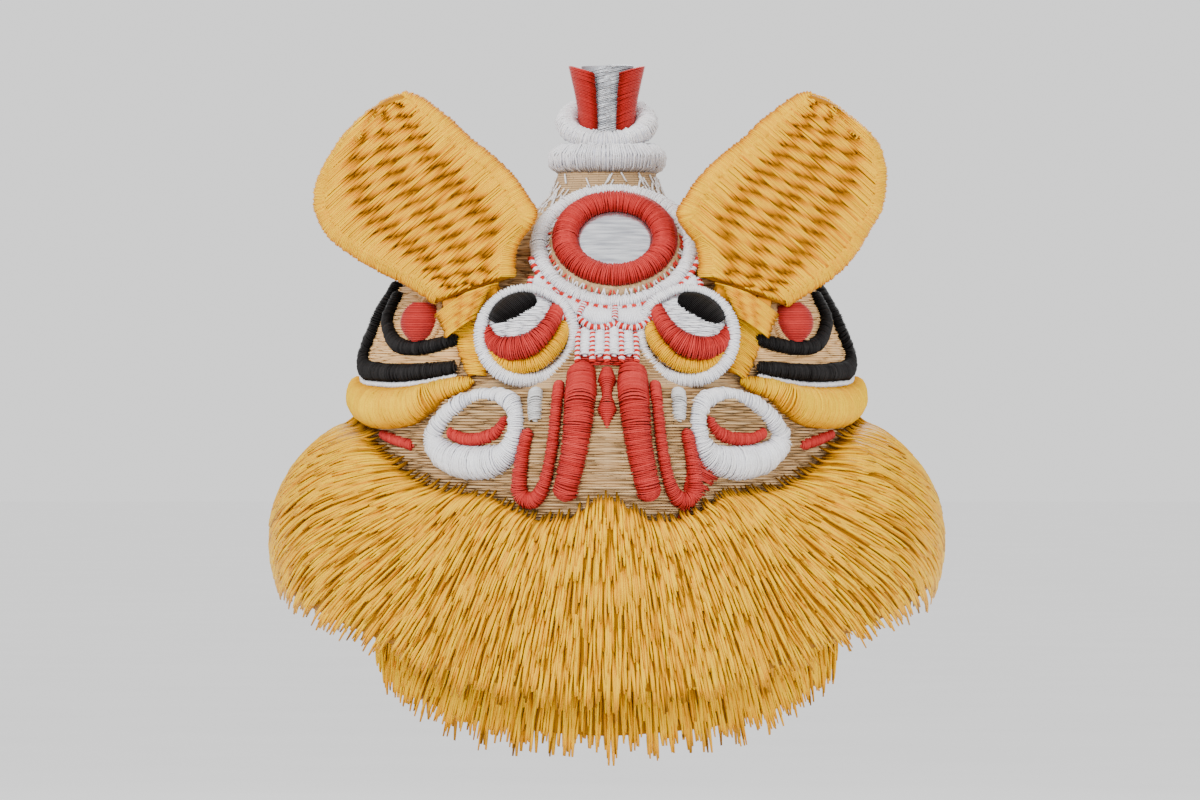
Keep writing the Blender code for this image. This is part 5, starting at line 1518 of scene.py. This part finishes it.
def ear_panel(place, reach, outer, inner, normal, face):
    """Quilted face of the ear: slanted threads across it, broken in saw-toothed lines along it."""
    steps = 6
    share = np.linspace(0.0, 1.0, steps)
    starts, stops, levels, marks = [], [], [], []
    rows = np.arange(reach[0] - 0.05, reach[-1] + 0.05, 0.0017)
    for index, row in enumerate(rows):
        across = np.linspace(inner.min(), outer.max(), 160)
        up = row - EAR_THREAD_SLOPE * across
        low = np.interp(up, reach, inner) + EAR_BORDER * 0.55
        high = np.interp(up, reach, outer) - EAR_BORDER * 0.55
        inside = (up > reach[0] + 0.001) & (up < reach[-1] - EAR_BORDER * 0.45)
        inside &= (across > low) & (across < high)
        if inside.sum() < 6:
            continue
        within = across[inside]
        part = ((across - low) / (high - low))[inside]
        saw = 0.15 * ((index / 8.0) % 1.0) - 0.075
        for rib in range(EAR_RIBS):
            a = rib / EAR_RIBS + (saw + rng.uniform(-0.03, 0.02)) * (rib > 0)
            b = (rib + 1) / EAR_RIBS + (saw + rng.uniform(-0.02, 0.03)) * (rib < EAR_RIBS - 1)
            span = within[(part >= a - 0.01) & (part <= b + 0.01)]
            if len(span) < 3:
                continue
            starts.append(span[0])
            stops.append(span[-1])
            levels.append(row + rng.normal(0.0, 0.0003))
            marks.append((rib > 0, rib < EAR_RIBS - 1))
    starts, stops, levels = (np.array(v)[:, None] for v in (starts, stops, levels))
    marks = np.array(marks, float)
    across = starts + (stops - starts) * share
    hump = np.sin(np.pi * share) ** 0.7
    depth = EAR_THICKNESS / 2.0 * EAR_CORE_SHARE + EAR_RIB_RISE * hump - 0.0006
    depth = depth + rng.uniform(0.0, 0.0006, len(levels))[:, None]
    paths = place(across, levels - EAR_THREAD_SLOPE * across, depth * face)
    # Threads are darkened toward the breaks between ribs: painted shade in the quilting's valleys.
    dip = 1.0 - marks[:, :1] * (1.0 - ease(share / 0.48)) - marks[:, 1:] * (1.0 - ease((1.0 - share) / 0.48))
    tone = 0.03 + 0.92 * np.clip(dip, 0.0, 1.0) * rng.uniform(0.80, 1.06, len(levels))[:, None]
    dull = rng.uniform(size=len(levels)) < 0.06
    tone = np.where(dull[:, None], tone * 0.55, tone)
    return threads("ear_panel", paths, normal, 0.0024, tone)


# Beard
def arc_table():
    """Angles round the section with their distances round the rim from the front."""
    angles = np.linspace(-130.0, 130.0, 5201)
    gaps = np.linalg.norm(np.diff(rim(angles, 0.05), axis=0), axis=1)
    arcs = np.concatenate([[0.0], np.cumsum(gaps)])
    return angles, arcs - arcs[len(arcs) // 2]


ARC_ANGLES, ARC_REACHES = arc_table()


def beard_surface(table, angle, share, backing, thick):
    """Outer surface of a beard layer by angle and share along the fall."""
    angle, share = np.broadcast_arrays(angle, share)
    size = np.minimum(np.abs(angle), table[-1, 0])
    root, reach, tip = (np.interp(size, table[:, 0], table[:, k]) for k in (1, 2, 3))
    base = rim(angle, np.maximum(root, 0.0))
    outward = unit(base * np.array((1.0, 1.0, 0.0)))
    clipped = np.clip(share, 0.0, 1.25)
    above = np.minimum(share, 0.0)
    fall = root + (tip - root) * clipped ** 1.35 - above * 0.22
    swing = reach * np.sin(np.minimum(clipped, 1.15) * np.pi * 0.62)
    puff = thick * (1.0 - 0.55 * clipped) * np.clip(1.0 + above / 0.07, 0.12, 1.0)
    place = base + outward * (swing - backing + puff)[..., None]
    place[..., 2] = fall
    return place, outward


def beard_strands(name, table, half_angle, backing, thick, rows, fan, length, facing_sign=1.0,
                  pitch=FUR_PITCH, width=FUR_WIDTH, first_limit=-0.06):
    """Overlapping rows of strands combed down and outward, in small tufts."""
    steps = 6
    share = np.linspace(0.0, 1.0, steps)
    limit = np.interp(half_angle, ARC_ANGLES, ARC_REACHES)
    count = int(2.0 * limit / pitch)
    starts, firsts, lengths = [], [], []
    for row in rows:
        starts.append(np.linspace(-limit, limit, count) + rng.normal(0.0, pitch * 0.35, count))
        firsts.append(row + rng.uniform(-0.035, 0.035, count))
        lengths.append(length * rng.uniform(0.8, 1.2, count))
    start = np.concatenate(starts)[:, None]
    first = np.maximum(np.concatenate(firsts), first_limit)[:, None]
    first = first + rng.uniform(0.0, 0.03, len(first))[:, None] * (first < 0.0)
    reach = np.concatenate(lengths)[:, None]
    last_row = first + reach > 0.93
    tuft_noise = 0.030 * np.sin(start * 310.0) + 0.022 * np.sin(start * 137.0 + 1.0)
    stop = np.where(last_row, 0.985 + tuft_noise + rng.uniform(-0.025, 0.03, start.shape), first + reach)
    along = first + (stop - first) * share
    hold = ease((limit - np.abs(start)) / 0.10)
    tuft = np.round(start / TUFT_PITCH) * TUFT_PITCH
    gather = (tuft - start) * 0.55 * ease(share)[None] * ease((along - 0.60) / 0.4)
    arc = start * (1.0 + fan * hold * (along - first)) + gather
    arc = np.clip(arc, -limit * 1.01, limit * 1.01)
    angle = np.interp(arc, ARC_REACHES, ARC_ANGLES)
    points, outward = beard_surface(table, angle, along, backing, thick)
    lift = (-0.0016 + 0.0050 * share[None] ** 0.8) * facing_sign
    lift = lift + rng.uniform(-0.0008, 0.0016, len(start))[:, None]
    paths = points + outward * lift[..., None]
    down = unit(np.gradient(paths, axis=1))
    side = unit(np.cross(down, outward))
    facing = unit(np.cross(side, down)) * facing_sign
    tip = 1.0 - ease((share - 0.72) / 0.30) * 0.5
    wide = width * rng.uniform(0.85, 1.2, len(start))[:, None] * (0.5 + 0.5 * ease(share / 0.25)) * tip
    base_tone = rng.uniform(0.62, 1.0, len(start))[:, None]
    dark = rng.uniform(size=(len(start), 1)) < 0.12
    # Each strand is dark at its root, painted shade under the row above, and darker toward its tip and toward
    # the lowest ends of the fall.
    tone = base_tone * (0.05 + 0.95 * ease(share / 0.50)) - 0.12 * ease((share - 0.82) / 0.2)
    tone = np.where(dark, tone * 0.40, tone)
    tone = tone - 0.38 * ease((along - 0.93) / 0.10)
    return threads(name, paths, facing, wide, tone, height=0.5)


def beard_wall(name, table, half_angle, backing, thick, inner, low=0.95):
    """The dense underlayer that the strands lie on."""
    limit = np.interp(half_angle, ARC_ANGLES, ARC_REACHES)
    angles = np.interp(np.linspace(-limit, limit, 121), ARC_REACHES, ARC_ANGLES)
    shares = np.linspace(0.015, low, 22)
    angle, share = np.meshgrid(angles, shares)
    outer, outward = beard_surface(table, angle, share, backing, thick)
    back = outer - outward * inner
    points = np.concatenate([outer, back[::-1]], axis=0)
    # Its low tone is painted shade that shows between the strands.
    tone = np.full(points.shape[:2], 0.14)
    return mesh_piece(name, points, grid_faces(len(points), len(angles), along=True), tone=tone)


def build_beards(paint):
    upper = (UPPER_BEARD, UPPER_BEARD_HALF_ANGLE, 0.0)
    wall = beard_wall("upper_wall", *upper, UPPER_BEARD_PUFF, 0.010)
    outer = beard_strands("upper_strands", *upper, UPPER_BEARD_PUFF,
                          np.linspace(-0.05, 0.82, 14), 0.60, 0.21)
    inner = beard_strands("upper_inside", *upper, 0.0020, np.linspace(0.15, 0.74, 4),
                          0.5, 0.30, -1.0, *INNER_FUR)
    beard = join_meshes("beard_upper_fur", [wall, outer, inner])
    dress(beard, paint["beard"], "head", "yellow_fur", "beard_upper")
    lower = (LOWER_BEARD, LOWER_BEARD_HALF_ANGLE, LOWER_BEARD_BACKING)
    wall = beard_wall("lower_wall", *lower, LOWER_BEARD_PUFF, 0.009)
    outer = beard_strands("lower_strands", *lower, LOWER_BEARD_PUFF,
                          np.linspace(0.02, 0.82, 12), 0.45, 0.22, first_limit=0.01)
    inner = beard_strands("lower_inside", *lower, 0.0015, np.linspace(0.10, 0.74, 4),
                          0.3, 0.30, -1.0, *INNER_FUR)
    beard = join_meshes("beard_lower_fur", [wall, outer, inner])
    dress(beard, paint["beard"], "jaw", "yellow_fur", "beard_lower")


def finish_hard_parts(paint):
    for node, key in (("jaw", "wood"), ("ear_pin_left", "steel"), ("ear_pin_right", "steel")):
        repaint(node, paint[key])


# Stage
def stage_material():
    material, tree, shader = node_tree("pale_floor", 0.9, specular=0.1)
    speck = ramp_node(tree, ((0.3, (0.94, 0.94, 0.94)), (0.7, (0.97, 0.97, 0.97))),
                      noise_node(tree, 3.0, 4.0))
    tree.links.new(speck, shader.inputs["Base Color"])
    return material


def area_light(name, place, size, power):
    light = bpy.data.lights.new(name, "AREA")
    light.shape = "RECTANGLE"
    light.size = size
    light.size_y = size
    light.energy = power
    item = bpy.data.objects.new(name, light)
    item.location = place
    item.rotation_euler = (Vector(LIGHT_AIM) - Vector(place)).to_track_quat("-Z", "Y").to_euler()
    bpy.context.scene.collection.objects.link(item)


def build_stage():
    turn = full_turn(64)
    reach = np.array(FLOOR_RADII)[:, None]
    points = np.stack([reach * np.cos(turn), reach * np.sin(turn), reach * 0.0 * turn + FLOOR_HEIGHT],
                      axis=-1)
    floor = mesh_piece("floor", points, grid_faces(3, 64, around=True))
    floor.data.materials.append(stage_material())
    world = bpy.data.worlds.new("studio")
    world.use_nodes = True
    world.node_tree.nodes["Background"].inputs["Color"].default_value = (1.0, 1.0, 1.0, 1.0)
    world.node_tree.nodes["Background"].inputs["Strength"].default_value = WORLD_STRENGTH
    bpy.context.scene.world = world
    for name, place, size, power in LIGHTS:
        area_light(name, place, size, power)
    camera = bpy.data.cameras.new("camera")
    camera.sensor_width = SENSOR
    camera.lens = SENSOR * CAMERA_DISTANCE / FRAME_WIDTH
    camera.clip_end = 100.0
    item = bpy.data.objects.new("camera", camera)
    item.location = (CAMERA_ACROSS, -FACE_DEPTH - CAMERA_DISTANCE, CAMERA_HEIGHT)
    item.rotation_euler = (math.pi / 2.0, 0.0, 0.0)
    bpy.context.scene.collection.objects.link(item)
    bpy.context.scene.camera = item


def build():
    build_stage()
    paint = make_materials()
    build_shell(paint)
    build_muzzle_cloth(paint)
    build_bridge(paint)
    build_mirror(paint)
    build_horn(paint)
    build_pendant(paint)
    build_lip_fan(paint)
    for side in (-1.0, 1.0):
        build_eye(paint, side)
        build_face(paint, side)
        build_temple(paint, side)
        build_ear(paint, side)
    build_beards(paint)
    finish_hard_parts(paint)


build()
